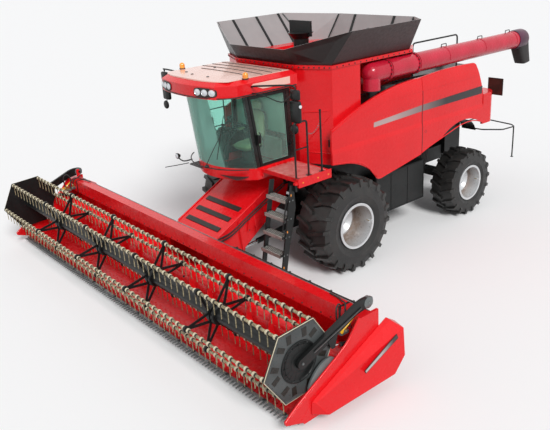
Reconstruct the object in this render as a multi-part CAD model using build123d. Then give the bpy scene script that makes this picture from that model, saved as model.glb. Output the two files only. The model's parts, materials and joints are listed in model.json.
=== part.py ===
from build123d import *
import os
from math import cos, pi, radians, sin

# Combine harvester with a grain header, in millimetres: +X to the machine's left, +Y to its rear, +Z up.
# Everything is laid out from the front axle (y = 0) and the ground (z = 0). The last lines move it along Y
# so that the origin is on the ground below the middle of the whole machine.

# ---------------------------------------------------------------- driving sizes
wheelbase = 3800
gap = 0.3  # between a piece and its seat
fit = 0.1  # radial clearance of a shaft in its bore
play = 6  # between pieces that move past each other

# body
panel_x = 1622  # outermost face of the side panels, from the centre plane
panel_wall = 40
core_half = 1090
core_low, core_high = 1330, 2080
core_front, core_rear = -560, 4270
tank_half = 1500
tank_low, tank_floor, tank_high = 2080 + gap, 2700, 3900
tank_shelf = 3830  # underside of the tank's rim, which reaches out over the unloading elbow
tank_wall = 40
extension_wall = 14
tank_nose_half = 880  # flat part of the tank's front wall
tank_front, tank_shoulder, tank_waist, tank_rear = -450, -160, 560, 2400
tank_waist_half = 1190  # beside the unloading tube
deck_high = 3240

# wheels
front = dict(radius=925, width=790, track=3080, bead=411, lugs=20, lug_high=52, disc=-150, name="front")
rear = dict(radius=745, width=590, track=2950, bead=360, lugs=18, lug_high=42, disc=-80, name="rear")
rim_wall = 14
stub_radius = 60
king_pin_x, king_pin = 1120, 24
rail_x, rail_half, rail_low, rail_high = 560, 60, 1010, 1330 - gap
steer_arm = 230  # length of the knuckle's steering arm

# cab
cab_half = 890
cab_floor, cab_sill, cab_eave = 2010, 2230, 3580
cab_back, cab_pillar_low, cab_pillar_high = -590, -1490, -1640
cab_bulge_low, cab_bulge_high = -1900, -2080  # middle of the windscreen at the sill and at the eave
hinge_out = 26  # from the cab's side out to the door's hinge pins
hinge_reach = 16  # of the hinge ears round their pins
glass_wall = 10
roof_half, roof_high, roof_nose = 1040, 3850, -2330

ladder_x, ladder_y = 1845, -1430  # upright pin that the ladder swings on

# header, fixed to the feeder
sheet_half = 4560  # half of the back sheet and pan
header_back = -2560
beam_deep, beam_high, beam_low = 210, 1215, 950
pan_wall = 14
knife_pitch = 76.2
screw_y, screw_z, screw_radius, screw_tube, screw_stub = -2905, 520, 300, 190, 30
trough_radius = 340
mouth_half, mouth_low, mouth_high = 640, 330, 900
end_wall = 40
divider_in, divider_out = sheet_half + end_wall + gap, sheet_half + 240

# reel
reel_y, reel_z, reel_radius = -3790, 940, 560
bar_radius, tine_long, tine_pitch, tine_wide = 21, 215, 152, 9
bars = 6
reel_phase = 123  # degrees from the rear horizontal to the upper front bar
spiders = 4
arm_pivot_y, arm_pivot_z, arm_pin = -2560, 1330, 26
reel_stub = 35
reel_ram_y, reel_ram_z, reel_ram_pin = -2700, 780, 14
reel_eye_y, reel_eye_z = -3250, 955
arm_wide = 50
arm_x = sheet_half - 55  # middle of the reel arms
reel_half = arm_x - arm_wide / 2 - 31  # outer face of the reel's end shields

# feeder
feeder_half = 640
feeder_pivot_y, feeder_pivot_z, feeder_pin = -640, 1760, 40
ram_y, ram_z, ram_x = -330, 690, 430  # pin of the lift rams at the front axle
ram_eye_y, ram_eye_z = -1700, 560  # pin of the lift rams on the feeder
ram_radius, ram_rod_radius, ram_pin = 55, 32, 20

# unloading auger
swing_x, swing_y, swivel_z = 1440, 930, 3280
tube_z, tube_radius, tube_wall = 3600, 190, 12
spout_y = 5850


# ---------------------------------------------------------------- helpers
def block(x0, x1, y0, y1, z0, z1):
    """A box from its six faces."""
    return Pos((x0 + x1) / 2, (y0 + y1) / 2, (z0 + z1) / 2) * Box(x1 - x0, y1 - y0, z1 - z0)


def outline(points):
    """A closed outline: a plain point goes on in a line, and a pair (through, end) goes on in an arc."""
    edges = []
    last = points[0]
    for step in points[1:] + [points[0]]:
        if isinstance(step[0], tuple):
            through, end = step
            edges.append(ThreePointArc(last, through, end))
        else:
            end = step
            if end != last:
                edges.append(Line(last, end))
        last = end
    return make_face(edges)


def along_x(face, x0, x1):
    """Extrudes a (y, z) outline from x0 to x1."""
    return extrude(Plane(origin=(x0, 0, 0), x_dir=(0, 1, 0), z_dir=(1, 0, 0)) * face, x1 - x0)


def along_y(face, y0, y1):
    """Extrudes an (x, z) outline from y0 to y1."""
    return extrude(Plane(origin=(0, y1, 0), x_dir=(1, 0, 0), z_dir=(0, -1, 0)) * face, y1 - y0)


def along_z(face, z0, z1):
    """Extrudes an (x, y) outline from z0 to z1."""
    return extrude(Plane(origin=(0, 0, z0)) * face, z1 - z0)


def rod(start, end, radius):
    """A round bar between two points."""
    a, b = Vector(*start), Vector(*end)
    way = b - a
    return Plane(origin=a, z_dir=way) * Cylinder(radius, way.length, align=(Align.CENTER, Align.CENTER, Align.MIN))


def bar(start, end, wide, deep, side=(1, 0, 0)):
    """A square bar between two points, wide along side."""
    a, b = Vector(*start), Vector(*end)
    way = b - a
    return Plane(origin=a, x_dir=side, z_dir=way) * Box(wide, deep, way.length, align=(Align.CENTER, Align.CENTER, Align.MIN))


def pipe(points, radius):
    """A bent round tube through the points, with mitred joints rounded by balls."""
    made = rod(points[0], points[1], radius)
    for a, b in zip(points[1:], points[2:]):
        made += rod(a, b, radius) + Pos(*a) * Sphere(radius)
    return made


def mirrored(shape):
    """The same piece on the machine's right."""
    return mirror(shape, about=Plane.YZ)


def both(shape):
    """A piece and its twin on the other side, as one node."""
    return Compound(children=list(shape.solids()) + list(mirrored(shape).solids()))


def group(*shapes):
    """Several separate solids as one node."""
    solids = []
    for shape in shapes:
        solids += list(shape.solids())
    return Compound(children=solids)


def facets(polygons):
    """A solid inside flat faces, each polygon split into triangles that meet at its first corner."""
    faces = []
    for first, *others in polygons:
        for second, third in zip(others, others[1:]):
            faces.append(Face(Wire.make_polygon([Vector(*p) for p in (first, second, third)], close=True)))
    made = Solid(Shell(faces))
    return made if made.volume > 0 else Solid(made.wrapped.Reversed())


def ring_solid(low, high):
    """A solid between two rings of points."""
    count = len(low)
    sides = [(low[n], low[n - count + 1], high[n - count + 1], high[n]) for n in range(count)]
    return facets([low, high] + sides)


def flared_wall(low, high, wall):
    """A flared wall between two rings of points about the centre plane, wall thick."""
    def drawn_in(ring):
        middle_y = sum(y for x, y, z in ring) / len(ring)
        return [(x - wall * (1 if x > 0 else -1), y - wall * (1 if y > middle_y else -1), z) for x, y, z in ring]

    rings = [low, high, drawn_in(high), drawn_in(low)]
    count = len(low)
    sides = []
    for n in range(count):
        m = (n + 1) % count
        for a, b in zip(rings, rings[1:] + rings[:1]):
            sides.append((a[n], a[m], b[m], b[n]))
    return facets(sides)


# ---------------------------------------------------------------- wheels
def tyre(size):
    """A lugged tyre about the X axis: on each side, bars sweep back from the middle and over the shoulder.

    A row of the table is a place across the tyre: how far out the groove's floor and the bar's top are, their
    radii, and how far the bar's middle lags and its foot and top reach to each side, in shares of a pitch.
    """
    radius, half, bead, high = size["radius"], size["width"] / 2, size["bead"], size["lug_high"]
    tread, nose = radius - high, 0.03 * half
    rows = [
        # floor_x, top_x, floor_r, top_r, lag, foot, top
        (-nose, -nose, tread, radius, 0.00, 0.130, 0.100),
        (0.45 * half, 0.45 * half, tread - 0.006 * radius, radius, 0.28, 0.130, 0.100),
        (0.90 * half, 0.93 * half, tread - 0.030 * radius, radius - 0.022 * radius, 0.42, 0.160, 0.125),
        (half - 16, half, 0.80 * radius, 0.84 * radius, 0.47, 0.160, 0.140),
    ]
    wall_x, wall_r = half - 6, 0.64 * radius
    bore_x, bore_r = half - 62, (bead + gap) / cos(pi / size["lugs"])
    pitch = 2 * pi / size["lugs"]

    def at(x, r, turns):
        return x, r * sin(turns * pitch), r * cos(turns * pitch)

    polygons = []
    for n in range(size["lugs"]):
        for side, start in ((1, n), (-1, n + 0.5)):
            feet, tops = [], []
            for floor_x, top_x, floor_r, top_r, lag, foot, top in rows:
                middle = start + lag
                feet.append([at(side * floor_x, floor_r, middle + s * foot) for s in (-1, 1)]
                            + [at(side * floor_x, floor_r, middle + 1 - foot)])
                tops.append([at(side * top_x, top_r, middle + s * top) for s in (-1, 1)])
            polygons.append((feet[0][0], tops[0][0], tops[0][1], feet[0][1]))
            polygons.append((feet[-1][0], tops[-1][0], tops[-1][1], feet[-1][1]))
            for a in range(len(rows) - 1):
                b = a + 1
                polygons.append((tops[a][0], tops[a][1], tops[b][1], tops[b][0]))
                for s in (0, 1):
                    polygons.append((feet[a][s], tops[a][s], tops[b][s], feet[b][s]))
                # The groove's floor: at the middle it runs round the nose of the other side's bar.
                nosed = [at(side * nose, tread, start + 0.5 + s * rows[0][5]) for s in (-1, 1)] if a == 0 else []
                polygons.append((feet[b][1], feet[a][1], *nosed, feet[a][2], feet[b][2]))
            middle, foot = start + rows[-1][4], rows[-1][5]
            wall = [at(side * wall_x, wall_r, middle + turns) for turns in (-foot, foot, 1 - foot)]
            polygons.append((feet[-1][0], feet[-1][1], wall[1], wall[0]))
            polygons.append((feet[-1][1], feet[-1][2], wall[2], wall[1]))
            bore = [at(side * bore_x, bore_r, middle + turns) for turns in (0, 1)]
            polygons.append((wall[0], wall[1], bore[0]))
            polygons.append((wall[1], wall[2], bore[1], bore[0]))
            if side == 1:
                far = [at(-bore_x, bore_r, middle + turns) for turns in (1.5, 0.5)]
                polygons.append((bore[1], *far, bore[0]))
    return facets(polygons)


def rim(size):
    """A dished steel rim with its disc, hub flange and studs, about the X axis."""
    half, bead = size["width"] / 2, size["bead"]
    seat = half - 40
    disc = size["disc"]
    spin = Plane(origin=(0, 0, 0), x_dir=(1, 0, 0), z_dir=(0, -1, 0))
    section = outline([
        (-seat - 14, bead + 30), (-seat, bead + 30), (-seat, bead), (seat, bead), (seat, bead + 30),
        (seat + 14, bead + 30), (seat + 14, bead - rim_wall), (disc + 60, bead - rim_wall),
        (disc + 60, bead - rim_wall - 4), (disc + 90, 0.72 * bead), (disc + 20, 0.50 * bead),
        (disc + 20, 40), (disc, 40), (disc, 0.50 * bead), (disc + 70, 0.74 * bead),
        (disc + 40, bead - rim_wall), (-seat - 14, bead - rim_wall),
    ])
    made = revolve(spin * section, Axis.X, 360)
    studs = [
        Rot(36 * n, 0, 0) * Pos(disc + 30, 0, 0.36 * bead) * Rot(0, 90, 0) * Cylinder(15, 24)
        for n in range(10)
    ]
    hub = rod((disc + 15, 0, 0), (disc + 110, 0, 0), 0.24 * bead)
    return made + studs + hub - rod((disc - 10, 0, 0), (disc + 58, 0, 0), stub_radius + fit)


def wheel_nodes():
    """Tyres and rims of the four wheels, the right ones mirrored so that all bars point the same way."""
    nodes = {}
    for size, y in ((front, 0), (rear, wheelbase)):
        place = Pos(size["track"] / 2, y, size["radius"])
        left = {"tyre": place * tyre(size), "rim": place * rim(size)}
        for name, shape in left.items():
            nodes[f"{name}_{size['name']}_left"] = shape
            nodes[f"{name}_{size['name']}_right"] = mirrored(shape)
    return nodes


# ---------------------------------------------------------------- running gear
def running_gear():
    """Chassis rails, driven front axle, steered rear axle with knuckles and track rod."""
    rails = both(block(rail_x - rail_half, rail_x + rail_half, -500, wheelbase + 420, rail_low, rail_high))
    cross = [
        block(-rail_x, rail_x, y - 70, y + 70, rail_low, rail_high - 40)
        for y in (-420, 330, 3150, wheelbase)
    ]
    hitch = block(-120, 120, wheelbase + 350, wheelbase + 620, rail_low, rail_low + 80)
    hitch += block(-rail_x, rail_x, wheelbase + 300, wheelbase + 380, rail_low, rail_high - 40)
    hitch -= Pos(0, wheelbase + 560, rail_low + 40) * Cylinder(25, 200)
    frame = rails.solids()[0] + rails.solids()[1] + cross + hitch

    # The driven axle: a beam with a final drive at each end, whose bore takes the wheel's stub.
    disc_x = front["track"] / 2 + front["disc"]
    beam = block(-960, 960, -150, 150, front["radius"] - 130, front["radius"] + 85 - gap)
    drive = Pos(960 + (disc_x - play - 960) / 2, 0, front["radius"]) * Rot(0, 90, 0) * Cylinder(210, disc_x - play - 960)
    neck = rod((disc_x - 120, 0, front["radius"]), (disc_x - play, 0, front["radius"]), 150)
    stub = rod((disc_x - 120, 0, front["radius"]), (disc_x + 55, 0, front["radius"]), stub_radius)
    axle = beam
    for piece in (drive, neck, stub):
        axle = axle + piece + mirrored(piece)
    for x in (-ram_x, ram_x):
        for x0, x1 in ((-75, -57), (57, 75)):
            axle += block(x + x0, x + x1, ram_y - 60, -140, ram_z - 60, front["radius"] - 50)
        axle += rod((x - 75, ram_y, ram_z), (x + 75, ram_y, ram_z), ram_pin)

    # The steered axle: a beam on the rails' hanger, with a king pin at each end.
    z = rear["radius"]
    rear_beam = block(-king_pin_x + 90, king_pin_x - 90, wheelbase - 90, wheelbase + 90, z - 20, z + 150)
    rear_beam += block(-150, 150, wheelbase - 70, wheelbase + 70, z + 100, rail_low - gap)
    for s in (-1, 1):
        rear_beam += block(*sorted((s * (king_pin_x - 140), s * (king_pin_x + 55))), wheelbase - 60, wheelbase + 60, z + 130 + play, z + 190)
        rear_beam += block(*sorted((s * (king_pin_x - 140), s * (king_pin_x + 55))), wheelbase - 60, wheelbase + 60, z - 190, z - 130 - play)
        rear_beam += block(*sorted((s * (king_pin_x - 140), s * (king_pin_x - 90))), wheelbase - 60, wheelbase + 60, z - 190, z + 190)
    rear_beam += rod((-220, wheelbase + 135, z + 40), (220, wheelbase + 135, z + 40), 55)
    for s in (-1, 1):
        rear_beam -= Pos(s * king_pin_x, wheelbase, z) * Cylinder(king_pin + fit, 600)
    return {"chassis_frame": frame, "front_axle": axle, "rear_axle": rear_beam}


def knuckle():
    """Left steering knuckle: king pin, stub axle and steering arm."""
    z = rear["radius"]
    disc_x = rear["track"] / 2 + rear["disc"]
    body = Pos(king_pin_x, wheelbase, z) * Cylinder(62, 260)
    body += Pos(king_pin_x, wheelbase, z) * Cylinder(king_pin, 2 * (130 + play) + 80)
    body += rod((king_pin_x, wheelbase, z), (disc_x - play, wheelbase, z), 70)
    body += rod((king_pin_x, wheelbase, z), (disc_x + 55, wheelbase, z), stub_radius)
    body += block(king_pin_x - 30, king_pin_x + 30, wheelbase, wheelbase + steer_arm, z - 90, z - 50)
    return body


# ---------------------------------------------------------------- body
def panel_shell(y0, y1):
    """Curved skin of the side panels: a section of arcs carried along the machine."""
    out, wall = panel_x, panel_wall
    section = outline([
        (out - 62, 3380), ((out - 18, 3150), (out, 2860)), (out - 12, 2640), (out - 12, 2420), (out + 6, 2330),
        ((out + 2, 1950), (out - 22, 1500)),
        (out - 22 - wall, 1500), ((out + 2 - wall, 1950), (out + 6 - wall, 2330)), (out - 12 - wall, 2420),
        (out - 12 - wall, 2640), (out - wall, 2860), ((out - 18 - wall, 3150), (out - 62 - wall, 3380)),
    ])
    return along_y(section, y0, y1)


seam_y = 2220  # between the front and rear side panels
panel_hinge_x, panel_hinge_front_z, panel_hinge_rear_z = 1520, 3335, 3375
hood_y = 4330  # between the rear side panels and the rear hood


def side_panels():
    """The big side panels, whose lower edges arch over the wheels."""
    front_edge = outline([
        (-330, 2140), (-320, 2790), ((760, 3165), (seam_y - play / 2, 3318)), (seam_y - play / 2, 1765),
        (1640, 1650), (930, 1548), ((560, 1885), (40, 2085)),
    ])
    rear_edge = outline([
        (seam_y + play / 2, 1765), (seam_y + play / 2, 3319), ((3100, 3362), (4000, 3340)), (4060, 3300),
        (hood_y - play, 2640), (hood_y - play, 1985), ((3620, 2190), (2900, 1965)),
    ])
    skin = panel_shell(-400, hood_y + 50)
    made = {}
    for name, edge in (("front", front_edge), ("rear", rear_edge)):
        panel = skin & along_x(edge, panel_x - 200, panel_x + 100)
        made[f"side_panel_{name}_left"] = panel
        made[f"side_panel_{name}_right"] = mirrored(panel)
    return made


def body_nodes():
    """Separator body, grain tank and its extension, engine, deck and rear hood."""
    core = along_x(outline([
        (core_front, core_low + 330), (core_front, core_high), (core_rear, core_high), (core_rear, 1960),
        (wheelbase - 600, 1620), (1700, core_low), (core_front + 250, core_low),
    ]), -core_half, core_half)
    for s in (-1, 1):
        ear = block(*sorted((s * (feeder_half + 30), s * (feeder_half + 60))), feeder_pivot_y - 80, core_front + 5,
                    feeder_pivot_z - 80, feeder_pivot_z + 80)
        core += ear - rod((s * 500, feeder_pivot_y, feeder_pivot_z), (s * 900, feeder_pivot_y, feeder_pivot_z), feeder_pin + fit)
    shoe_half = rail_x - rail_half - gap
    core += along_x(outline([
        (500, 780), (520, core_low + 10), (2900, core_low + 10), (3000, 1150), (2500, 700), (1000, 640),
    ]), -shoe_half, shoe_half)

    walls = [
        (-tank_nose_half, tank_front), (tank_nose_half, tank_front), (tank_half, tank_shoulder),
        (tank_half, tank_waist), (tank_waist_half, tank_waist), (tank_waist_half, tank_rear),
        (-tank_waist_half, tank_rear), (-tank_waist_half, tank_waist), (-tank_half, tank_waist),
        (-tank_half, tank_shoulder),
    ]
    shape = outline(walls)
    rim_plan = outline([
        (-tank_nose_half, tank_front), (tank_nose_half, tank_front), (tank_half, tank_shoulder),
        (tank_half, 2000), (tank_waist_half, tank_rear), (-tank_waist_half, tank_rear), (-tank_half, 2000),
        (-tank_half, tank_shoulder),
    ])
    tank = along_z(shape, tank_low, tank_high) + along_z(rim_plan, tank_shelf, tank_high)
    tank -= along_z(offset(shape, -tank_wall, kind=Kind.INTERSECTION), tank_floor, tank_high + 1)
    lip = along_z(offset(rim_plan, 22, kind=Kind.INTERSECTION), tank_high - 60, tank_high)
    tank += lip - along_z(rim_plan, tank_high - 61, tank_high + 1)

    # The extension: a flared wall standing on the tank's rim, lower in front than at the sides
    low = [(-850, -430), (850, -430), (1485, -150), (1485, 1960), (1150, 2380), (-1150, 2380), (-1485, 1960), (-1485, -150)]
    low = [(x, y, tank_high + gap) for x, y in low]
    high = [
        (-790, -640, 4190), (790, -640, 4190), (1950, -90, 4500), (1950, 1720, 4500), (1060, 2640, 4420),
        (-1060, 2640, 4420), (-1950, 1720, 4500), (-1950, -90, 4500),
    ]
    extension = flared_wall(low, high, extension_wall)

    engine = block(-520, 520, 2750, 3950, 2600, 3120)
    bed = block(-tank_waist_half, tank_waist_half, tank_rear + gap, core_rear, tank_low, 2600 - gap)
    deck = bed + block(-tank_waist_half, tank_waist_half, 4010, core_rear, 2500, deck_high)
    deck += block(-tank_waist_half, -900, tank_rear + gap, 4010, 2500, deck_high)
    deck += block(900, tank_waist_half, tank_rear + gap, 4010, 2500, deck_high)
    rails = block(tank_half + gap, panel_x - 52 - gap, -300, hood_y - 60, 2460, 2590)
    for y in (700, 1500, 2250):
        rails += block(tank_waist_half + gap, tank_half + 10, y - 40, y + 40, 2480, 2570)
    for y in (3000, 4000):
        rails += block(tank_waist_half - 10, tank_half + 10, y - 40, y + 40, 2480, 2570)
    deck = deck + rails + mirrored(rails)

    hood_plan = outline([
        (-panel_x, hood_y), (panel_x, hood_y), (panel_x, 4620), ((1480, 4830), (1150, 4900)), (-1150, 4900),
        ((-1480, 4830), (-panel_x, 4620)),
    ])
    hood = along_z(hood_plan, 1950, 2620) - along_z(offset(hood_plan, -50, kind=Kind.INTERSECTION), 1900, 2560)
    hood -= block(-panel_x + 50, panel_x - 50, hood_y - 10, hood_y + 100, 1900, 2560)
    hood += block(-1000, 1000, core_rear + gap, hood_y + 40, 2100, 2620)
    return {
        "separator_body": core,
        "grain_tank": tank,
        "tank_extension": extension,
        "engine": engine,
        "engine_deck": deck,
        "rear_hood": hood,
    }


def filling_auger():
    """The fountain auger that fills the tank, standing on its floor."""
    made = Pos(0, 500, (tank_floor + gap + 4200) / 2) * Cylinder(150, 4200 - tank_floor - gap)
    made += Pos(0, 500, 4200) * Cone(150, 250, 120, align=(Align.CENTER, Align.CENTER, Align.MIN))
    made += block(-300, 300, 480, 520, 4250, 4540)
    made += block(-260, 260, 200, 800, tank_floor + gap, tank_floor + 180)
    return made


def unloading_auger():
    """The tube that swings out, its elbow and its rubber spout."""
    elbow = Pos(swing_x, swing_y, (swivel_z + gap + tube_z) / 2) * Cylinder(165, tube_z - swivel_z - gap)
    elbow += Pos(swing_x, swing_y, tube_z) * Sphere(tube_radius)
    tube = rod((swing_x, swing_y, tube_z), (swing_x, spout_y - 60, tube_z), tube_radius)
    tube -= rod((swing_x, 1500, tube_z), (swing_x, spout_y + 10, tube_z), tube_radius - tube_wall)
    tube += rod((swing_x, spout_y - 90, tube_z), (swing_x, spout_y - 60, tube_z), tube_radius)
    tube += elbow
    for y in (1290, 1330, 2110, 2150):
        tube += rod((swing_x, y - 9, tube_z), (swing_x, y + 9, tube_z), tube_radius + 22)
    collar = rod((swing_x, spout_y - 60 + gap, tube_z), (swing_x, spout_y + 130, tube_z), tube_radius + 4)
    mouth = ring_solid(
        [(swing_x - 150, spout_y - 40, tube_z - 60), (swing_x + 150, spout_y - 40, tube_z - 60),
         (swing_x + 150, spout_y + 120, tube_z - 60), (swing_x - 150, spout_y + 120, tube_z - 60)],
        [(swing_x - 140, spout_y + 150, 3010), (swing_x + 140, spout_y + 150, 3010),
         (swing_x + 150, spout_y + 400, 3060), (swing_x - 150, spout_y + 400, 3060)],
    )
    spout = collar + mouth
    base = Pos(swing_x, swing_y, 3130) * Cylinder(105, 2 * (swivel_z - 3130 - 5))
    base += Pos(swing_x, swing_y, swivel_z - 10) * Cylinder(165, 20)
    base += block(tank_waist_half + gap, swing_x, swing_y - 110, swing_y + 110, 3000, 3180)
    return {"unload_tube": tube, "unload_spout": spout, "unload_base": base}


# ---------------------------------------------------------------- cab
def cab_nodes():
    """Cab frame with its console, curved windscreen, other glass, door, roof, lamps, seat and mirrors."""
    def plan(half, back, pillar, bulge):
        return outline([(-half, back), (half, back), (half, pillar), ((0, bulge), (-half, pillar))])

    base = along_z(plan(cab_half, cab_back, cab_pillar_low, cab_bulge_low), cab_floor, cab_sill)
    base -= along_z(
        plan(cab_half - 60, cab_back - 60, cab_pillar_low + 40, cab_bulge_low + 60), cab_floor + 60, cab_sill + 1)
    base += block(-700, 700, cab_back - 1, core_front - gap, cab_floor, cab_floor + 60)
    frame = base
    top_half = cab_half - 60
    for s in (-1, 1):
        frame += bar((s * (cab_half - 30), cab_pillar_low + 40, cab_sill - 5), (s * (top_half - 30), cab_pillar_high + 40, cab_eave), 60, 79)
        frame += bar((s * (cab_half - 30), cab_back - 45, cab_sill - 5), (s * (top_half - 30), cab_back - 45, cab_eave), 60, 90)
    frame += block(-top_half, top_half, cab_back - 90, cab_back, cab_eave - 60, cab_eave)
    frame += block(-cab_half + 10, cab_half - 10, cab_back - 60, cab_back, cab_sill - 5, cab_sill + 420)
    for s in (-1, 1):
        frame += block(*sorted((s * (top_half - 60), s * top_half)), cab_pillar_high + 20, cab_back - 10, cab_eave - 60, cab_eave)
    frame -= block(-cab_half, cab_half, -2000, 0, cab_eave, cab_eave + 100)
    console = block(-520, -300, -1350, -850, cab_floor + 60, cab_floor + 640)
    column = rod((0, -1560, cab_floor + 50), (0, -1396, cab_floor + 778), 45)
    wheel = Plane(origin=(0, -1395, cab_floor + 775), z_dir=(0, 0.22, 0.97)) * Torus(190, 17)
    spoke = Plane(origin=(0, -1395, cab_floor + 775), z_dir=(0, 0.22, 0.97)) * Box(380, 34, 16)
    frame += console + column + wheel + spoke

    def arc_band(half, pillar, bulge, wall):
        return [(-half, pillar), ((0, bulge), (half, pillar)), (half, pillar + wall), ((0, bulge + wall), (-half, pillar + wall))]

    glass_low = Plane(origin=(0, 0, cab_sill + gap)) * outline(arc_band(cab_half - 2, cab_pillar_low - glass_wall - gap, cab_bulge_low, glass_wall))
    glass_high = Plane(origin=(0, 0, cab_eave - 0)) * outline(arc_band(top_half - 2, cab_pillar_high - glass_wall - gap, cab_bulge_high, glass_wall))
    screen = loft([glass_low, glass_high], ruled=True)
    right = ring_solid(
        [(-cab_half + 8, cab_back - 95, cab_sill + gap), (-cab_half + 8, cab_pillar_low + 92, cab_sill + gap),
         (-cab_half + 18, cab_pillar_low + 92, cab_sill + gap), (-cab_half + 18, cab_back - 95, cab_sill + gap)],
        [(-top_half + 8, cab_back - 95, cab_eave - 65), (-top_half + 8, cab_pillar_high + 92, cab_eave - 65),
         (-top_half + 18, cab_pillar_high + 92, cab_eave - 65), (-top_half + 18, cab_back - 95, cab_eave - 65)],
    )
    back = block(-top_half + 70, top_half - 70, cab_back - 40, cab_back - 30, cab_sill + 420 + gap, cab_eave - 60 - gap)
    glass = group(screen, right, back)

    door_low, door_high = cab_sill + 8, cab_eave - 68
    lean = (cab_half - top_half) / (cab_eave - cab_sill)

    def door_plate(inset, x_out, x_in):
        low_z, high_z = door_low + inset, door_high - inset
        def ring(z):
            t = (z - cab_sill) / (cab_eave - cab_sill)
            front_y = cab_pillar_low + 90 + t * (cab_pillar_high - cab_pillar_low) + inset
            back_y = cab_back - 100 - inset
            shift = lean * (z - cab_sill)
            return [(cab_half - shift + x_out, front_y, z), (cab_half - shift + x_out, back_y, z),
                    (cab_half - shift + x_in, back_y, z), (cab_half - shift + x_in, front_y, z)]
        return ring_solid(ring(low_z), ring(high_z))

    door = door_plate(0, 4, -30) - door_plate(52, 20, -50)
    door += block(cab_half - 35, cab_half + 20, cab_pillar_low + 45, cab_pillar_low + 70, cab_sill + 420, cab_sill + 600)
    door_glass = door_plate(52 + gap, -8, -18)
    hinge_y = cab_back - 100
    for height in (260, 1020):
        x = cab_half - lean * height
        z = cab_sill + height

        def on_hinge(along):
            return x + hinge_out - lean * along, hinge_y, z + along

        out = x + hinge_out + hinge_reach
        ear = block(x + hinge_out - 12, out, hinge_y - hinge_reach, hinge_y + 50, z + 4, z + 26)
        ear += block(x - 20, out, hinge_y + 10, hinge_y + 50, z + 4, z + 26)
        frame += ear - rod(on_hinge(-10), on_hinge(60), 9 + fit)
        door += rod(on_hinge(-30), on_hinge(0), 15) + rod(on_hinge(-30), on_hinge(38), 9)
        door += block(x - 26, x + hinge_out, hinge_y - 50, hinge_y - 8, z - 26, z - 2)

    low_plan = [(-roof_half, cab_back + 20), (roof_half, cab_back + 20), (roof_half, -1900), (820, -2210),
                ((0, roof_nose), (-820, -2210)), (-roof_half, -1900)]
    roof = along_z(outline(low_plan), cab_eave + gap, roof_high - 60)
    small = [(-roof_half + 90, cab_back - 40), (roof_half - 90, cab_back - 40), (roof_half - 90, -1850), (760, -2120),
             ((0, roof_nose + 90), (-760, -2120)), (-roof_half + 90, -1850)]
    cap = loft([Plane(origin=(0, 0, roof_high - 60)) * outline(low_plan), Plane(origin=(0, 0, roof_high)) * outline(small)], ruled=True)
    roof += cap
    lamps = []
    for s in (-1, 1):
        for x, y in ((470, -2291), (620, -2262), (770, -2224)):
            lamps.append(rod((s * x, y + 6, cab_eave + 95), (s * x, y + 50, cab_eave + 95), 58))
            roof -= rod((s * x, y - 60, cab_eave + 95), (s * x, y + 50 + gap, cab_eave + 95), 58 + gap)
    beacons = []
    for s in (-1, 1):
        x, y = s * 965, -1660
        dome = Pos(x, y, roof_high + 40) * Cylinder(50, 70) + Pos(x, y, roof_high + 75) * Sphere(50)
        dome = dome & block(x - 60, x + 60, y - 60, y + 60, roof_high + 6, roof_high + 140)
        roof += Pos(x, y, roof_high - 40) * Cylinder(46, 46 - gap, align=(Align.CENTER, Align.CENTER, Align.MIN))
        beacons.append(dome)
    seat = block(-250, 250, -1180, -700, cab_floor + 60 + gap, cab_floor + 330)
    seat += block(-260, 260, -1240, -720, cab_floor + 320, cab_floor + 450)
    seat += along_x(outline([(-800, cab_floor + 440), (-690, cab_floor + 440), (-660, cab_floor + 1050), (-740, cab_floor + 1050)]), -240, 240)
    seat += along_x(outline([(-735, cab_floor + 1040), (-665, cab_floor + 1040), (-670, cab_floor + 1200), (-725, cab_floor + 1200)]), -130, 130)
    mirrors = []
    for s in (-1, 1):
        arm = rod((s * (roof_half - 70), -1850, cab_eave - 30), (s * 1500, -2350, cab_eave - 60), 16)
        arm += rod((s * (roof_half - 70), -1850, cab_eave - 30), (s * (roof_half - 70), -1850, cab_eave), 16)
        arm += rod((s * 1500, -2350, cab_eave - 60), (s * 1500, -2350, cab_eave - 420), 16)
        arm += block(s * 1500 - 130, s * 1500 + 130, -2340, -2290, cab_eave - 560, cab_eave - 140)
        mirrors.append(arm)
    return {
        "cab_frame": frame,
        "cab_glass": glass,
        "cab_door": door,
        "cab_door_glass": door_glass,
        "cab_roof": roof,
        "roof_lamps": group(*lamps),
        "beacons": group(*beacons),
        "driver_seat": seat,
        "mirrors": group(*mirrors),
    }


def access_nodes():
    """Platform beside the cab, its handrails and the ladder."""
    platform = block(cab_half + gap, 1880, -1400, -620, 2140, 2190)
    platform += block(1840, 1880, -1400, -620, 2060, 2150)
    platform += block(cab_half + gap, cab_half + 40, -1400, -620, 2060, 2150)
    platform += block(cab_half + gap, 1880, -660, -620, 2060, 2150)
    platform += block(ladder_x - 30, ladder_x + 30, ladder_y - 30, -1390, 2110, 2150)
    platform -= Pos(ladder_x, ladder_y, 2120) * Cylinder(12 + fit, 40)
    rails = []
    run = [(1850, -1370, 2190 + gap), (1850, -1370, 3120), (1850, -1150, 3160), (1850, -650, 3160), (1850, -650, 2190 + gap)]
    rails.append(pipe(run, 19) + rod((1850, -1370, 2700), (1850, -650, 2700), 14))
    ladder = []
    for x in (1250, 1790):
        ladder.append(bar((x, -1460, 2100), (x, -1780, 480), 30, 90))
    for n, z in enumerate((560, 880, 1200, 1520, 1840)):
        y = -1460 - (2100 - z) * 320 / 1620
        ladder.append(block(1250, 1790, y - 110, y + 60, z - 18, z + 18))
    made = ladder[0]
    for piece in ladder[1:]:
        made += piece
    made += block(1775, ladder_x + 12, ladder_y - 20, ladder_y + 20, 1990, 2110 - play)
    made += Pos(ladder_x, ladder_y, 1990) * Cylinder(12, 145, align=(Align.CENTER, Align.CENTER, Align.MIN))
    return {"platform": platform, "handrails": group(*rails), "ladder": made}


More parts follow.
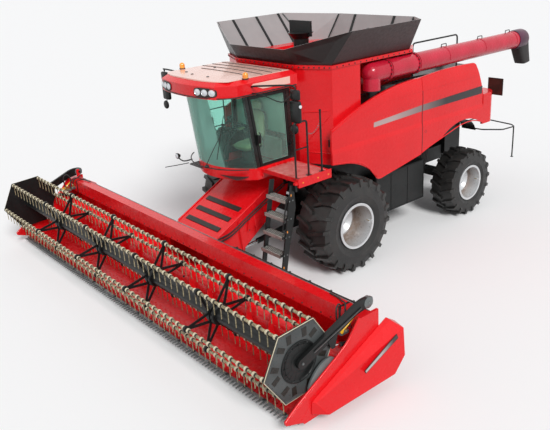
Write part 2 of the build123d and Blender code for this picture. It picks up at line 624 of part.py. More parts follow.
# ---------------------------------------------------------------- feeder and header
def feeder():
    """Hollow feeder house, open to the header, with its rear drum housing and ram ears."""
    skin = outline([
        (-660, 1920), (-1000, 1730), (-2330, 1060), (header_back + 9 + gap, 1060), (header_back + 9 + gap, 280),
        (-2330, 280), (-700, 1390), ((-592 - 30, 1560), (-592, 1760)),
    ])
    house = along_x(skin, -feeder_half - 20, feeder_half + 20)
    hollow = outline([(-1050, 1640), (-2300, 900), (-2800, 900), (-2800, 330), (-2320, 330), (-1100, 1180)])
    house -= along_x(hollow, -feeder_half + 10, feeder_half - 10)
    house -= block(-2000, 2000, core_front - 30, 0, 0, 3000)
    for s in (-1, 1):
        house += rod((s * feeder_half, feeder_pivot_y, feeder_pivot_z), (s * (feeder_half + 64), feeder_pivot_y, feeder_pivot_z), feeder_pin)
    for s in (-1, 1):
        for x0, x1 in ((-75, -57), (57, 75)):
            house += along_x(outline([(-1880, 610), (-1520, 860), (ram_eye_y + 60, ram_eye_z - 50), (ram_eye_y - 60, ram_eye_z - 50)]),
                             s * ram_x + x0, s * ram_x + x1)
    return house


def header_nodes():
    """Header frame with pan and ends, dividers, knife, screw, reel arms and reel."""
    z, y, r = screw_z, screw_y, trough_radius
    w = pan_wall
    pan = along_x(outline([
        (-3850, 130), (y, z - r), ((y + r * sin(pi / 4), z - r * cos(pi / 4)), (y + r, z)), (y + r, beam_high - 20),
        (y + r + w, beam_high - 20), (y + r + w, z),
        ((y + (r + w) * sin(pi / 4), z - (r + w) * cos(pi / 4)), (y, z - r - w)), (-3850, 130 - w), (-3900, 100), (-3900, 116),
    ]), -sheet_half, sheet_half)
    mouth = block(-feeder_half + 10, feeder_half - 10, -2750, -2400, mouth_low, mouth_high)
    beam = block(-sheet_half, sheet_half, header_back - beam_deep, header_back + 5, beam_low, beam_high)
    beam -= block(-sheet_half + 40, sheet_half - 40, header_back - beam_deep + 12, header_back - 7, beam_low + 12, beam_high - 12)
    lower = block(-sheet_half, sheet_half, -2700, -2570, 110, 200)
    frame = pan + beam + lower - mouth
    for share in (-0.92, -0.66, -0.40, -0.165, 0.165, 0.40, 0.66, 0.92):
        x = share * sheet_half
        frame += block(x - 30, x + 30, header_back + 5 - 12, header_back + 80, 120, 1100)
        frame += along_x(outline([(-2620, 112), (-2620, 190), (-3840, 118), (-3840, 100)]), x - 20, x + 20)
    ends = along_x(outline([
        (-2440, 150), (-3300, 100), (-3880, 92), (-3935, 170), (-3500, 560), (-3050, 930), (-2800, beam_high), (-2440, beam_high),
    ]), sheet_half, sheet_half + end_wall)
    frame = frame + ends + mirrored(ends)
    ear = block(arm_x - 62, arm_x - arm_wide / 2 - play, arm_pivot_y - 60, arm_pivot_y + 5, beam_high - 40, arm_pivot_z + 60)
    ear -= rod((arm_x - 100, arm_pivot_y, arm_pivot_z), (arm_x, arm_pivot_y, arm_pivot_z), arm_pin + fit)
    pin = rod((arm_x - 34, reel_ram_y, reel_ram_z), (sheet_half + 5, reel_ram_y, reel_ram_z), reel_ram_pin)
    for side in (ear, pin):
        frame = frame + side + mirrored(side)
    frame -= rod((-sheet_half - 90, y, z), (sheet_half + 90, y, z), screw_stub + fit)

    side = outline([
        (-4196, 262), (-3300, 800), (-2700, 1110), ((-2500, 1160), (-2380, 1120)), ((-2160, 1030), (-2100, 880)),
        (-2100, 450), (-2260, 200), (-3760, 110), (-4150, 200),
    ])
    top = outline([
        (divider_in, -2050), (divider_out, -2050), (divider_out, -3250), (sheet_half + 50, -4200), (sheet_half + 5, -4200),
        (sheet_half + 5, -3950), (divider_in, -3950),
    ])
    divider = along_x(side, sheet_half, divider_out + 10) & along_z(top, 0, 1300)
    dividers = both(divider)

    pitch = knife_pitch
    count = int((2 * sheet_half - 50) / pitch)
    points = [(-sheet_half + 2, -3900 - gap), (-sheet_half + 2, -3955)]
    for n in range(count):
        x = (n - (count - 1) / 2) * pitch
        points += [(x - 17, -3955), (x - 5, -4060), (x + 5, -4060), (x + 17, -3955)]
    points += [(sheet_half - 2, -3955), (sheet_half - 2, -3900 - gap)]
    knife = along_z(outline(points), 98, 116)

    screw = rod((-sheet_half + play, y, z), (sheet_half - play, y, z), screw_tube)
    screw += rod((-sheet_half - 20, y, z), (sheet_half + 20, y, z), screw_stub)
    screw_node = group(screw, *[flight(s, 700, sheet_half - 830, 7, 12) for s in (-1, 1)])

    arm = along_x(outline([
        (-2480, 1275), (-2800, 1238), (reel_y + 30, reel_z - 75), ((reel_y - 80, reel_z), (reel_y - 10, reel_z + 78)),
        (-2830, 1385), ((-2600, 1420), (-2480, 1390)),
    ]), arm_x - arm_wide / 2, arm_x + arm_wide / 2)
    for x0, x1 in ((-32, -22), (22, 32)):
        arm += along_x(outline([
            (-3160, 1140), (-3345, 1070), (reel_eye_y - 28, reel_eye_z - 30), (reel_eye_y + 28, reel_eye_z - 30),
        ]), arm_x + x0, arm_x + x1)
    arm += rod((arm_x - 64, arm_pivot_y, arm_pivot_z), (arm_x, arm_pivot_y, arm_pivot_z), arm_pin)
    arm -= rod((arm_x - 100, reel_y, reel_z), (arm_x + 100, reel_y, reel_z), reel_stub + fit)
    arms = both(arm)
    return {
        "header_frame": frame,
        "dividers": dividers,
        "knife": knife,
        "header_auger": screw_node,
        "reel_arms": arms,
    }


def flight(side, start, reach, turns, steps):
    """A screw flight of flat facets from start outwards, wound the other way on the other side."""
    inner, wall = screw_tube / cos(pi / steps) + gap, 6
    total = turns * steps

    def corners(n):
        a = 2 * pi * n / steps
        x = start + reach * n / total
        return [
            (side * (x + along), screw_y + radius * cos(a), screw_z + radius * sin(a))
            for radius, along in ((inner, 0), (screw_radius, 0), (screw_radius, wall), (inner, wall))
        ]

    polygons = [corners(0), corners(total)]
    for n in range(total):
        here, there = corners(n), corners(n + 1)
        for k in range(4):
            m = (k + 1) % 4
            polygons.append((here[k], here[m], there[m], there[k]))
    return facets(polygons)


def reel_nodes():
    """Reel tube with spiders and end shields, and six bars whose tines stay upright."""
    def corner(n, radius=reel_radius):
        a = radians(reel_phase + 60 * n)
        return reel_y + radius * cos(a), reel_z + radius * sin(a)

    core = rod((-reel_half, reel_y, reel_z), (reel_half, reel_y, reel_z), 110)
    shaft = rod((reel_half - 20, reel_y, reel_z), (arm_x + arm_wide / 2, reel_y, reel_z), reel_stub)
    shield = along_x(outline([corner(n, reel_radius + 40) for n in range(bars)]), reel_half - 8, reel_half)
    frame = core + shaft + mirrored(shaft) + shield + mirrored(shield)
    bay = 2 * reel_half / (spiders + 1)
    for k in range(spiders):
        x = -reel_half + bay * (k + 1)
        hub = rod((x - 12, reel_y, reel_z), (x + 12, reel_y, reel_z), 170)
        web = hub
        for n in range(bars):
            y, z = corner(n)
            for m in (-0.5, 0.5):
                y0, z0 = corner(n + m, 150)
                web += bar((x, y0, z0), (x, y, z), 10, 46)
            web += rod((x - 9, y, z), (x + 9, y, z), 42)
        frame += web
    holes = [rod((-reel_half - 20, *corner(n)), (reel_half + 20, *corner(n)), bar_radius + fit) for n in range(bars)]
    frame = frame - holes
    made = {"reel_frame": frame}
    for n in range(bars):
        y, z = corner(n)
        one = rod((-reel_half + 1, y, z), (reel_half - 1, y, z), bar_radius)
        tines = []
        for k in range(spiders + 1):
            first = -reel_half + bay * k + 60
            number = int((bay - 120) / tine_pitch) + 1
            step = (bay - 120) / (number - 1)
            for j in range(number):
                x = first + j * step
                tines.append(block(x - tine_wide / 2, x + tine_wide / 2, y - 6, y + 6, z - tine_long, z - bar_radius + 8))
        made[f"reel_bar_{n + 1}"] = one + tines
    return made


def rams():
    """Lift rams of the feeder and of the reel: barrels and rods, left and right."""
    made = {}
    for name, x, back, eye, radius, rod_radius, pin, closed in (
        ("lift", ram_x, (ram_y, ram_z), (ram_eye_y, ram_eye_z), ram_radius, ram_rod_radius, ram_pin, 0.68),
        ("reel", arm_x, (reel_ram_y, reel_ram_z), (reel_eye_y, reel_eye_z), 32, 18, reel_ram_pin, 0.72),
    ):
        a, b = Vector(x, *back), Vector(x, *eye)
        length = (b - a).length
        way = (b - a).normalized()
        half = 0.55 * radius
        barrel = rod(tuple(a), tuple(a + way * closed * length), radius)
        barrel += rod((x - half, *back), (x + half, *back), radius * 0.95)
        barrel -= rod((x - 2 * radius, *back), (x + 2 * radius, *back), pin + fit)
        barrel -= rod(tuple(a + way * 0.2 * length), tuple(a + way * (closed * length + 10)), rod_radius + fit)
        piston = rod(tuple(a + way * 0.25 * length), tuple(b), rod_radius)
        piston += rod((x - half, *eye), (x + half, *eye), rod_radius * 1.5)
        made[f"{name}_barrels"] = both(barrel)
        made[f"{name}_rods"] = both(piston)
    return made


# ---------------------------------------------------------------- rear
def rear_nodes():
    """Straw chopper, spreader discs, side shields and rear rails."""
    chopper = block(-680, 680, core_rear + gap, 4840, 1100, 2070)
    chopper += block(-420, 420, 4830, 4960, 900, 1300)
    chopper -= block(-640, 640, 4400, 4800, 1000, 2030)
    for s in (-1, 1):
        chopper -= Pos(s * 360, 4900, 930) * Cylinder(30 + fit, 100)
    made = {"straw_chopper": chopper}
    for name, s in (("left", 1), ("right", -1)):
        disc = Pos(s * 360, 4900, 860) * Cylinder(300, 14)
        disc += Pos(s * 360, 4900, 865) * Cylinder(60, 56) + Pos(s * 360, 4900, 915) * Cylinder(30, 110)
        for n in range(6):
            disc += Pos(s * 360, 4900, 840) * Rot(0, 0, 60 * n + 15) * Pos(180, 0, 0) * Box(230, 8, 60)
        made[f"spreader_{name}"] = disc
    shields = block(core_half + gap, 1330, 1150, 2680, 620, 1480)
    shields = both(shields)
    made["side_shields"] = shields
    return made


# ---------------------------------------------------------------- build and write
def build():
    nodes = {}
    nodes.update(wheel_nodes())
    nodes.update(running_gear())
    left = knuckle()
    nodes["knuckle_left"] = left
    nodes["knuckle_right"] = mirrored(left)
    nodes.update(side_panels())
    nodes.update(body_nodes())
    nodes["filling_auger"] = filling_auger()
    nodes.update(unloading_auger())
    nodes.update(cab_nodes())
    nodes.update(access_nodes())
    nodes["feeder_house"] = feeder()
    nodes.update(header_nodes())
    nodes.update(reel_nodes())
    nodes.update(rams())
    nodes.update(rear_nodes())
    return nodes


def middle_of(nodes):
    """How far back the middle of the whole machine lies from the front axle."""
    boxes = [shape.bounding_box() for shape in nodes.values()]
    return (min(box.min.Y for box in boxes) + max(box.max.Y for box in boxes)) / 2


if __name__ == "__main__":
    os.makedirs("parts", exist_ok=True)
    made = build()
    middle = middle_of(made)
    for name, shape in made.items():
        export_step(Pos(0, -middle, 0) * shape, f"parts/{name}.step")
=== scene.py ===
import bmesh
import bpy
import json
import math
import numpy as np
from mathutils import Matrix, Vector


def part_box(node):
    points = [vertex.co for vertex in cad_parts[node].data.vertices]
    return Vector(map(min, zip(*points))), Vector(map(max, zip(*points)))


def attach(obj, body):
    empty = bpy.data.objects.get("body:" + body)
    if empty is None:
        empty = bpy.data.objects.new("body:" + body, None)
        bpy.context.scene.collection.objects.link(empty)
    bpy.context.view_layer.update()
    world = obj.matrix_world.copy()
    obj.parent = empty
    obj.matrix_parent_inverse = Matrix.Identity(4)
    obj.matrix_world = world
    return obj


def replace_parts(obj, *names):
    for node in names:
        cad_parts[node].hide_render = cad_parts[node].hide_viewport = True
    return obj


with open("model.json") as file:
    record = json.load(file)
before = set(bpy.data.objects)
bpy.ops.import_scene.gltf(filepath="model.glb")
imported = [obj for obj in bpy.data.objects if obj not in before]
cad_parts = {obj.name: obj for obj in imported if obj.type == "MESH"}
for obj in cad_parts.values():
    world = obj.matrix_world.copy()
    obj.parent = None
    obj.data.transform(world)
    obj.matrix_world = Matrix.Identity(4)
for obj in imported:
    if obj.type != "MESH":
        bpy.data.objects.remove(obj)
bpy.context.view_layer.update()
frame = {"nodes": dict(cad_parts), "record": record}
nodes = frame["nodes"]
print("frame loaded:", len(nodes), "nodes")

# Places are given in metres from the front axle's middle: x to the machine's left, y to its rear, z up.
rimLow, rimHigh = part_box("rim_front_left")
axleY = (rimLow.y + rimHigh.y) / 2


def at(points):
    return np.asarray(points, float) + np.array([0.0, axleY, 0.0])


def box(name):
    low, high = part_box(name)
    return np.array(low) - np.array([0, axleY, 0]), np.array(high) - np.array([0, axleY, 0])


# Shapes: a part is (points, faceLists); each face list holds faces with the same number of corners

# Grid: neighbours in a two-way array of points are joined by quads; a closed direction joins its last row to its first.
def gridPart(points, closeI=False, closeJ=False, caps=False):
    countI, countJ = points.shape[:2]
    i, j = np.meshgrid(np.arange(countI - (not closeI)), np.arange(countJ - (not closeJ)), indexing="ij")

    def corner(a, b):
        return (a % countI) * countJ + b % countJ

    quads = np.stack([corner(i, j), corner(i + 1, j), corner(i + 1, j + 1), corner(i, j + 1)], -1).reshape(-1, 4)
    faces = [quads]
    if caps:
        faces += [np.arange(countJ)[None, ::-1], ((countI - 1) * countJ + np.arange(countJ))[None]]
    return points.reshape(-1, 3), faces


def joinParts(*parts):
    starts = np.cumsum([0] + [len(points) for points, faces in parts[:-1]])
    faces = [face + start for (points, lists), start in zip(parts, starts) for face in lists]
    return np.concatenate([points for points, lists in parts]), faces


# Copies: the part's points are added to every offset at once.
def copies(part, offsets):
    points, lists = part
    offsets = np.asarray(offsets, float).reshape(-1, 3)
    count = len(points)
    steps = np.arange(len(offsets))[:, None, None] * count
    moved = (points[None] + offsets[:, None]).reshape(-1, 3)
    return moved, [(face[None] + steps).reshape(-1, face.shape[1]) for face in lists]


def mirrorPart(part):
    points, lists = part
    return points * np.array([-1, 1, 1]), [face[:, ::-1] for face in lists]


def bothSides(part):
    return joinParts(part, mirrorPart(part))


# Each side's name, with what makes its part from the left one.
sideTurns = (("left", lambda part: part), ("right", mirrorPart))


# Turn: rows of points times this matrix turn by the angle about the x axis, or about the upright one.
def turnMatrix(angle, axis="x"):
    c, s = math.cos(angle), math.sin(angle)
    return np.array({"x": [[1, 0, 0], [0, c, s], [0, -s, c]], "z": [[c, s, 0], [-s, c, 0], [0, 0, 1]]}[axis])


# Ring of places: points at equal turns on a circle about an axle, all at one x.
def placesRound(x, cy, cz, radius, count, phase=0.0):
    turn = np.arange(count) * 2 * np.pi / count + phase
    return np.stack([np.full(count, x), cy + radius * np.cos(turn), cz + radius * np.sin(turn)], -1)


# Tube: circles of the given radius stand square to the path's direction, with their start turned towards `side`.
def tubePart(path, radius, sides=8, side=(0, 0, 1), closed=False):
    path = np.asarray(path, float)
    if closed:
        along = np.roll(path, -1, 0) - np.roll(path, 1, 0)
    else:
        along = np.gradient(path, axis=0)
    along /= np.linalg.norm(along, axis=1, keepdims=True)
    first = np.cross(along, np.asarray(side, float))
    first /= np.linalg.norm(first, axis=1, keepdims=True)
    second = np.cross(along, first)
    turn = np.linspace(0, 2 * np.pi, sides, endpoint=False)
    radius = np.broadcast_to(radius, len(path))[:, None, None]
    ring = np.cos(turn)[None, :, None] * first[:, None] + np.sin(turn)[None, :, None] * second[:, None]
    return gridPart(path[:, None] + radius * ring, closeI=closed, closeJ=True, caps=not closed)


# Rounded path: each inner corner becomes a curve that starts and ends `reach` from it and bends towards it.
def roundedPath(points, reach, steps=5):
    points = np.asarray(points, float)
    before, corner, after = points[:-2], points[1:-1], points[2:]
    back, ahead = before - corner, after - corner
    start = corner + back / np.linalg.norm(back, axis=1, keepdims=True) * reach
    end = corner + ahead / np.linalg.norm(ahead, axis=1, keepdims=True) * reach
    t = np.linspace(0, 1, steps)[None, :, None]
    curve = (1 - t) ** 2 * start[:, None] + 2 * t * (1 - t) * corner[:, None] + t**2 * end[:, None]
    return np.concatenate([points[:1], curve.reshape(-1, 3), points[-1:]])


# Smooth path: a cubic through each pair of points whose slopes come from the points on either side.
def smoothPath(points, steps=6):
    p = np.asarray(points, float)
    p = np.concatenate([2 * p[:1] - p[1:2], p, 2 * p[-1:] - p[-2:-1]])
    a, b, c, d = p[:-3, None], p[1:-2, None], p[2:-1, None], p[3:, None]
    t = np.linspace(0, 1, steps, endpoint=False)[None, :, None]
    curve = 0.5 * (2 * b + (c - a) * t + (2 * a - 5 * b + 4 * c - d) * t**2 + (3 * b - a - 3 * c + d) * t**3)
    return np.concatenate([curve.reshape(-1, 3), p[-2:-1]])


# Lathe: a profile of (along, radius) pairs is turned about the axis through `centre`; a ring's profile is closed.
def lathePart(profile, centre, axis="x", turns=24, ring=False):
    profile = np.asarray(profile, float)
    turn = np.linspace(0, 2 * np.pi, turns, endpoint=False)[None]
    along = np.repeat(profile[:, :1], turns, 1)
    across, up = profile[:, 1:] * np.cos(turn), profile[:, 1:] * np.sin(turn)
    order = {"x": (along, across, up), "y": (up, along, across), "z": (across, up, along)}[axis]
    return gridPart(np.stack(order, -1) + np.asarray(centre, float), closeI=ring, closeJ=True, caps=not ring)


# Rounded plate: a rectangle with round corners and a small slope at its rim on both faces.
def platePart(centre, halfU, halfV, thick, corner=0.01, normal="x", rim=0.002, steps=4):
    quarter = np.linspace(0, np.pi / 2, steps)
    signs = np.array([(1, 1), (-1, 1), (-1, -1), (1, -1)])
    angle = np.concatenate([quarter + k * np.pi / 2 for k in range(4)])
    middle = np.repeat(signs, steps, 0) * (np.array([halfU, halfV]) - corner)
    turn = np.stack([np.cos(angle), np.sin(angle)], -1)
    rings = [(corner - rim, -thick / 2), (corner, -thick / 2 + rim), (corner, thick / 2 - rim),
             (corner - rim, thick / 2)]
    u, v, w = np.stack([np.column_stack([middle + turn * r, np.full(len(angle), h)])
                        for r, h in rings]).transpose(2, 0, 1)
    order = {"x": (w, u, v), "y": (u, w, v), "z": (u, v, w)}[normal]
    return gridPart(np.stack(order, -1) + np.asarray(centre, float), closeJ=True, caps=True)


# Prism: an outline of points is carried from `low` to `high` along one axis.
def prismPart(outline, low, high, axis="x"):
    outline = np.asarray(outline, float)
    layers = []
    for place in (low, high):
        flat = np.full((len(outline), 1), float(place))
        layers.append({"x": np.hstack([flat, outline]), "y": np.column_stack([outline[:, 0], flat, outline[:, 1]]),
                       "z": np.hstack([outline, flat])}[axis])
    return gridPart(np.stack(layers), closeJ=True, caps=True)


# Bolt: a washer, a six-sided head and its chamfer, turned about the axis.
def boltPart(r, axis="x", out=1):
    washer = lathePart([(0, 1.5 * r), (0.25 * r * out, 1.45 * r)], (0, 0, 0), axis, 12)
    head = lathePart([(0.2 * r * out, r), (0.9 * r * out, r), (1.05 * r * out, 0.82 * r)], (0, 0, 0), axis, 6)
    return joinParts(washer, head)


# Piece: the part becomes a mesh that rides a body. Edges above `flat` degrees stay sharp, and `bevel` rounds them.
def addPiece(name, part, material, body, flat=30, bevel=None):
    points, lists = part
    loops = np.concatenate([face.ravel() for face in lists]).astype(np.int32)
    totals = np.concatenate([np.full(len(face), face.shape[1]) for face in lists])
    mesh = bpy.data.meshes.new(name)
    mesh.vertices.add(len(points))
    mesh.vertices.foreach_set("co", at(points).astype(np.float32).ravel())
    mesh.loops.add(len(loops))
    mesh.loops.foreach_set("vertex_index", loops)
    mesh.polygons.add(len(totals))
    mesh.polygons.foreach_set("loop_start", np.concatenate([[0], np.cumsum(totals)[:-1]]).astype(np.int32))
    mesh.update(calc_edges=True)
    mesh.validate()
    work = bmesh.new()
    work.from_mesh(mesh)
    bmesh.ops.recalc_face_normals(work, faces=work.faces)
    work.to_mesh(mesh)
    work.free()
    mesh.shade_smooth()
    mesh.set_sharp_from_angle(angle=math.radians(flat))
    piece = bpy.data.objects.new(name, mesh)
    bpy.context.scene.collection.objects.link(piece)
    mesh.materials.append(looks[material])
    if bevel:
        edge = piece.modifiers.new("edges", "BEVEL")
        edge.width, edge.segments, edge.limit_method = bevel, 2, "ANGLE"
    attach(piece, body)
    return piece


# Materials: each reads Object coordinates, so its pattern stays on the piece
looks = {}


def startLook(name):
    look = bpy.data.materials.new(name)
    look.use_nodes = True
    tree = look.node_tree
    looks[name] = look
    place = tree.nodes.new("ShaderNodeTexCoord").outputs["Object"]
    return tree, tree.nodes["Principled BSDF"], place


def noise(tree, place, scale, detail=3, stretch=None):
    if stretch:
        mapping = tree.nodes.new("ShaderNodeMapping")
        mapping.inputs["Scale"].default_value = stretch
        tree.links.new(place, mapping.inputs["Vector"])
        place = mapping.outputs["Vector"]
    node = tree.nodes.new("ShaderNodeTexNoise")
    node.inputs["Scale"].default_value = scale
    node.inputs["Detail"].default_value = detail
    tree.links.new(place, node.inputs["Vector"])
    return node.outputs["Fac"]


def mapRange(tree, value, low, high, toLow, toHigh):
    node = tree.nodes.new("ShaderNodeMapRange")
    for socket, number in zip(("From Min", "From Max", "To Min", "To Max"), (low, high, toLow, toHigh)):
        node.inputs[socket].default_value = number
    tree.links.new(value, node.inputs["Value"])
    return node.outputs["Result"]


def mixColour(tree, share, first, second):
    node = tree.nodes.new("ShaderNodeMix")
    node.data_type = "RGBA"
    for socket, colour in ((6, first), (7, second)):
        if isinstance(colour, tuple):
            node.inputs[socket].default_value = (*colour, 1)
        else:
            tree.links.new(colour, node.inputs[socket])
    tree.links.new(share, node.inputs[0])
    return node.outputs[2]


def math2(tree, how, a, b=0.0):
    node = tree.nodes.new("ShaderNodeMath")
    node.operation = how
    for socket, value in zip(node.inputs, (a, b)):
        if isinstance(value, (int, float)):
            socket.default_value = value
        else:
            tree.links.new(value, socket)
    return node.outputs[0]


def parts3(tree, place):
    node = tree.nodes.new("ShaderNodeSeparateXYZ")
    tree.links.new(place, node.inputs[0])
    return node.outputs


def bump(tree, shader, height, strength, distance):
    node = tree.nodes.new("ShaderNodeBump")
    node.inputs["Strength"].default_value = strength
    node.inputs["Distance"].default_value = distance
    tree.links.new(height, node.inputs["Height"])
    tree.links.new(node.outputs[0], shader.inputs["Normal"])


# Roughness drifts between two values with a pattern of the given scale.
def roughen(tree, shader, place, scale, low, high):
    tree.links.new(mapRange(tree, noise(tree, place, scale), 0.3, 0.7, low, high), shader.inputs["Roughness"])


# Plain finish: two close colours drift into each other, roughness drifts with a finer pattern, and a grain lifts it.
finishes = {
    "red_paint": dict(colour=(0.80, 0.009, 0.014), other=(0.74, 0.007, 0.011), size=1.3, rough=(0.22, 0.32), coat=0.25,
                      shine=0.25, grain=(90, 0.02, 0.0004)),
    "red_cast": dict(colour=(0.55, 0.008, 0.010), other=(0.44, 0.006, 0.008), size=5, rough=(0.34, 0.5), coat=0.1,
                     shine=0.25, grain=(300, 0.1, 0.0008)),
    "tube_paint": dict(colour=(0.60, 0.014, 0.045), other=(0.50, 0.010, 0.032), size=2.5, rough=(0.22, 0.32), coat=0.3,
                       shine=0.3, grain=(90, 0.02, 0.0004)),
    "black_paint": dict(colour=(0.011, 0.012, 0.012), other=(0.006, 0.007, 0.007), size=3,
                        rough=(0.30, 0.46), shine=0.3, grain=(260, 0.08, 0.0006)),
    "grey_steel": dict(colour=(0.27, 0.29, 0.29), other=(0.17, 0.18, 0.18), size=9, rough=(0.26, 0.5), metal=0.75,
                       grain=(500, 0.12, 0.0006)),
    "dark_steel": dict(colour=(0.055, 0.057, 0.057), other=(0.025, 0.027, 0.027), size=11, rough=(0.32, 0.6), metal=0.5,
                       grain=(300, 0.3, 0.001)),
    "black_rubber": dict(colour=(0.016, 0.015, 0.015), other=(0.027, 0.022, 0.022), size=14, rough=(0.45, 0.65),
                         grain=(700, 0.3, 0.0008)),
    "chrome_rod": dict(colour=(0.72, 0.73, 0.74), other=(0.60, 0.61, 0.62), size=20, rough=(0.06, 0.18), metal=1.0,
                       grain=(900, 0.04, 0.0003)),
    "brass": dict(colour=(0.55, 0.40, 0.13), other=(0.40, 0.28, 0.09), size=30, rough=(0.22, 0.42), metal=0.85,
                  grain=(900, 0.1, 0.0004)),
    "reel_tines": dict(colour=(0.46, 0.39, 0.24), other=(0.17, 0.14, 0.08), size=40, rough=(0.35, 0.6),
                       grain=(900, 0.2, 0.0006)),
    "lining_grey": dict(colour=(0.30, 0.32, 0.29), other=(0.24, 0.26, 0.24), size=8, rough=(0.6, 0.8),
                        grain=(500, 0.3, 0.001)),
    # A silver brighter than the rims': on the rim beads it is painted highlight along the ring; the hub caps share it.
    "rim_edge": dict(colour=(0.78, 0.79, 0.80), other=(0.66, 0.67, 0.69), size=12,
                     rough=(0.18, 0.3), metal=0.3, coat=0.3, grain=(400, 0.05, 0.0004)),
    "clip_dark": dict(colour=(0.030, 0.028, 0.024), other=(0.014, 0.013, 0.011), size=40, rough=(0.35, 0.5), shine=0.3,
                      grain=(600, 0.1, 0.0005)),
    "shield_grey": dict(colour=(0.085, 0.094, 0.094), other=(0.060, 0.067, 0.067), size=4,
                        rough=(0.26, 0.36), shine=0.3, grain=(300, 0.04, 0.0005)),
    "clip_pale": dict(colour=(0.72, 0.66, 0.50), other=(0.55, 0.48, 0.33), size=60, rough=(0.35, 0.5),
                      grain=(900, 0.1, 0.0004)),
    "amber_lens": dict(colour=(0.90, 0.26, 0.02), other=(0.95, 0.42, 0.05), size=25, rough=(0.08, 0.16), coat=0.6,
                       grain=(90, 0.1, 0.002)),
    "yellow_paint": dict(colour=(0.85, 0.50, 0.02), other=(0.70, 0.38, 0.02), size=20, rough=(0.3, 0.45), coat=0.3,
                         grain=(500, 0.1, 0.0006)),
    "pale_bezel": dict(colour=(0.80, 0.82, 0.84), other=(0.66, 0.69, 0.72), size=30, rough=(0.1, 0.2), metal=0.5,
                       grain=(700, 0.05, 0.0004)),
    "cover_grey": dict(colour=(0.135, 0.150, 0.150), other=(0.105, 0.118, 0.118), size=6, rough=(0.26, 0.36), coat=0.3,
                       grain=(400, 0.08, 0.0008)),
    "seat_trim": dict(colour=(0.46, 0.38, 0.21), other=(0.36, 0.30, 0.17), size=20, rough=(0.7, 0.85),
                      grain=(850, 0.4, 0.0015)),
    "cab_plastic": dict(colour=(0.060, 0.068, 0.068), other=(0.045, 0.050, 0.050), size=9, rough=(0.42, 0.6),
                        grain=(520, 0.3, 0.0008)),
    "board_brown": dict(colour=(0.085, 0.030, 0.024), other=(0.050, 0.022, 0.018), size=6, rough=(0.35, 0.5),
                        grain=(300, 0.1, 0.0008)),
    # Painted highlight: a pale pink standing in for the bright reflection on the red roof's top; the roof's side wings
    # take it too.
    "pale_panel": dict(colour=(0.90, 0.56, 0.47), other=(0.86, 0.50, 0.42), size=2, rough=(0.22, 0.3), coat=0.4,
                       grain=(420, 0.05, 0.0006)),
    "tread_pale": dict(colour=(0.50, 0.50, 0.46), other=(0.28, 0.28, 0.26), size=30, rough=(0.35, 0.6), metal=0.6,
                       grain=(260, 0.5, 0.002)),
    "purple_collar": dict(colour=(0.085, 0.012, 0.045), other=(0.045, 0.010, 0.028), size=6,
                          rough=(0.3, 0.45), coat=0.2, grain=(400, 0.1, 0.0006)),
}


def plainLook(name, colour, other, size, rough, grain, metal=0.0, coat=0.0, shine=0.4):
    tree, shader, place = startLook(name)
    drift = noise(tree, place, size)
    colours = mixColour(tree, mapRange(tree, drift, 0.35, 0.65, 0, 1), colour, other)
    tree.links.new(colours, shader.inputs["Base Color"])
    roughen(tree, shader, place, size * 6, *rough)
    scale, strength, distance = grain
    bump(tree, shader, noise(tree, place, scale, 2), strength, distance)
    shader.inputs["Metallic"].default_value = metal
    shader.inputs["Coat Weight"].default_value = coat
    shader.inputs["Coat Roughness"].default_value = 0.08
    shader.inputs["Specular IOR Level"].default_value = shine
    return tree, shader, place, colours


for name, finish in finishes.items():
    plainLook(name, **finish)

# Wheels: where each axle is, along the machine and up, and the radius of the tyre's bead.
wheelSet = dict(front=dict(hub=(0.0, 0.925), bead=0.41), rear=dict(hub=(3.8, 0.745), bead=0.36))


# Distance from the axle: the root of the summed squares; the second value is how far a point is from the middle plane.
def fromHub(tree, place, hub):
    x, y, z = parts3(tree, place)
    dy = math2(tree, "SUBTRACT", y, hub[0] + axleY)
    dz = math2(tree, "SUBTRACT", z, hub[1])
    squares = math2(tree, "ADD", math2(tree, "MULTIPLY", dy, dy), math2(tree, "MULTIPLY", dz, dz))
    return math2(tree, "SQRT", squares), math2(tree, "ABSOLUTE", x)


# Tyre rubber: dusty towards the tread; moulded rings on the side wall are a sine of the distance from the axle.
def tyreLook(end, wheel):
    tree, shader, place = startLook(f"tyre_{end}")
    radius, across = fromHub(tree, place, wheel["hub"])
    dust = noise(tree, place, 5, 5)
    share = mapRange(tree, math2(tree, "ADD", dust, math2(tree, "MULTIPLY", radius, 0.22)), 0.5, 0.9, 0, 1)
    colours = mixColour(tree, share, (0.010, 0.010, 0.010), (0.026, 0.024, 0.022))
    shader.inputs["Specular IOR Level"].default_value = 0.5
    tree.links.new(colours, shader.inputs["Base Color"])
    roughen(tree, shader, place, 24, 0.34, 0.52)
    rings = math2(tree, "SINE", math2(tree, "MULTIPLY", radius, 260.0))
    nearRim = mapRange(tree, radius, wheel["bead"] + 0.05, wheel["bead"] + 0.12, 1, 0)
    height = math2(tree, "ADD", math2(tree, "MULTIPLY", rings, math2(tree, "MULTIPLY", nearRim, 0.6)),
                   noise(tree, place, 380, 2))
    bump(tree, shader, height, 0.35, 0.003)


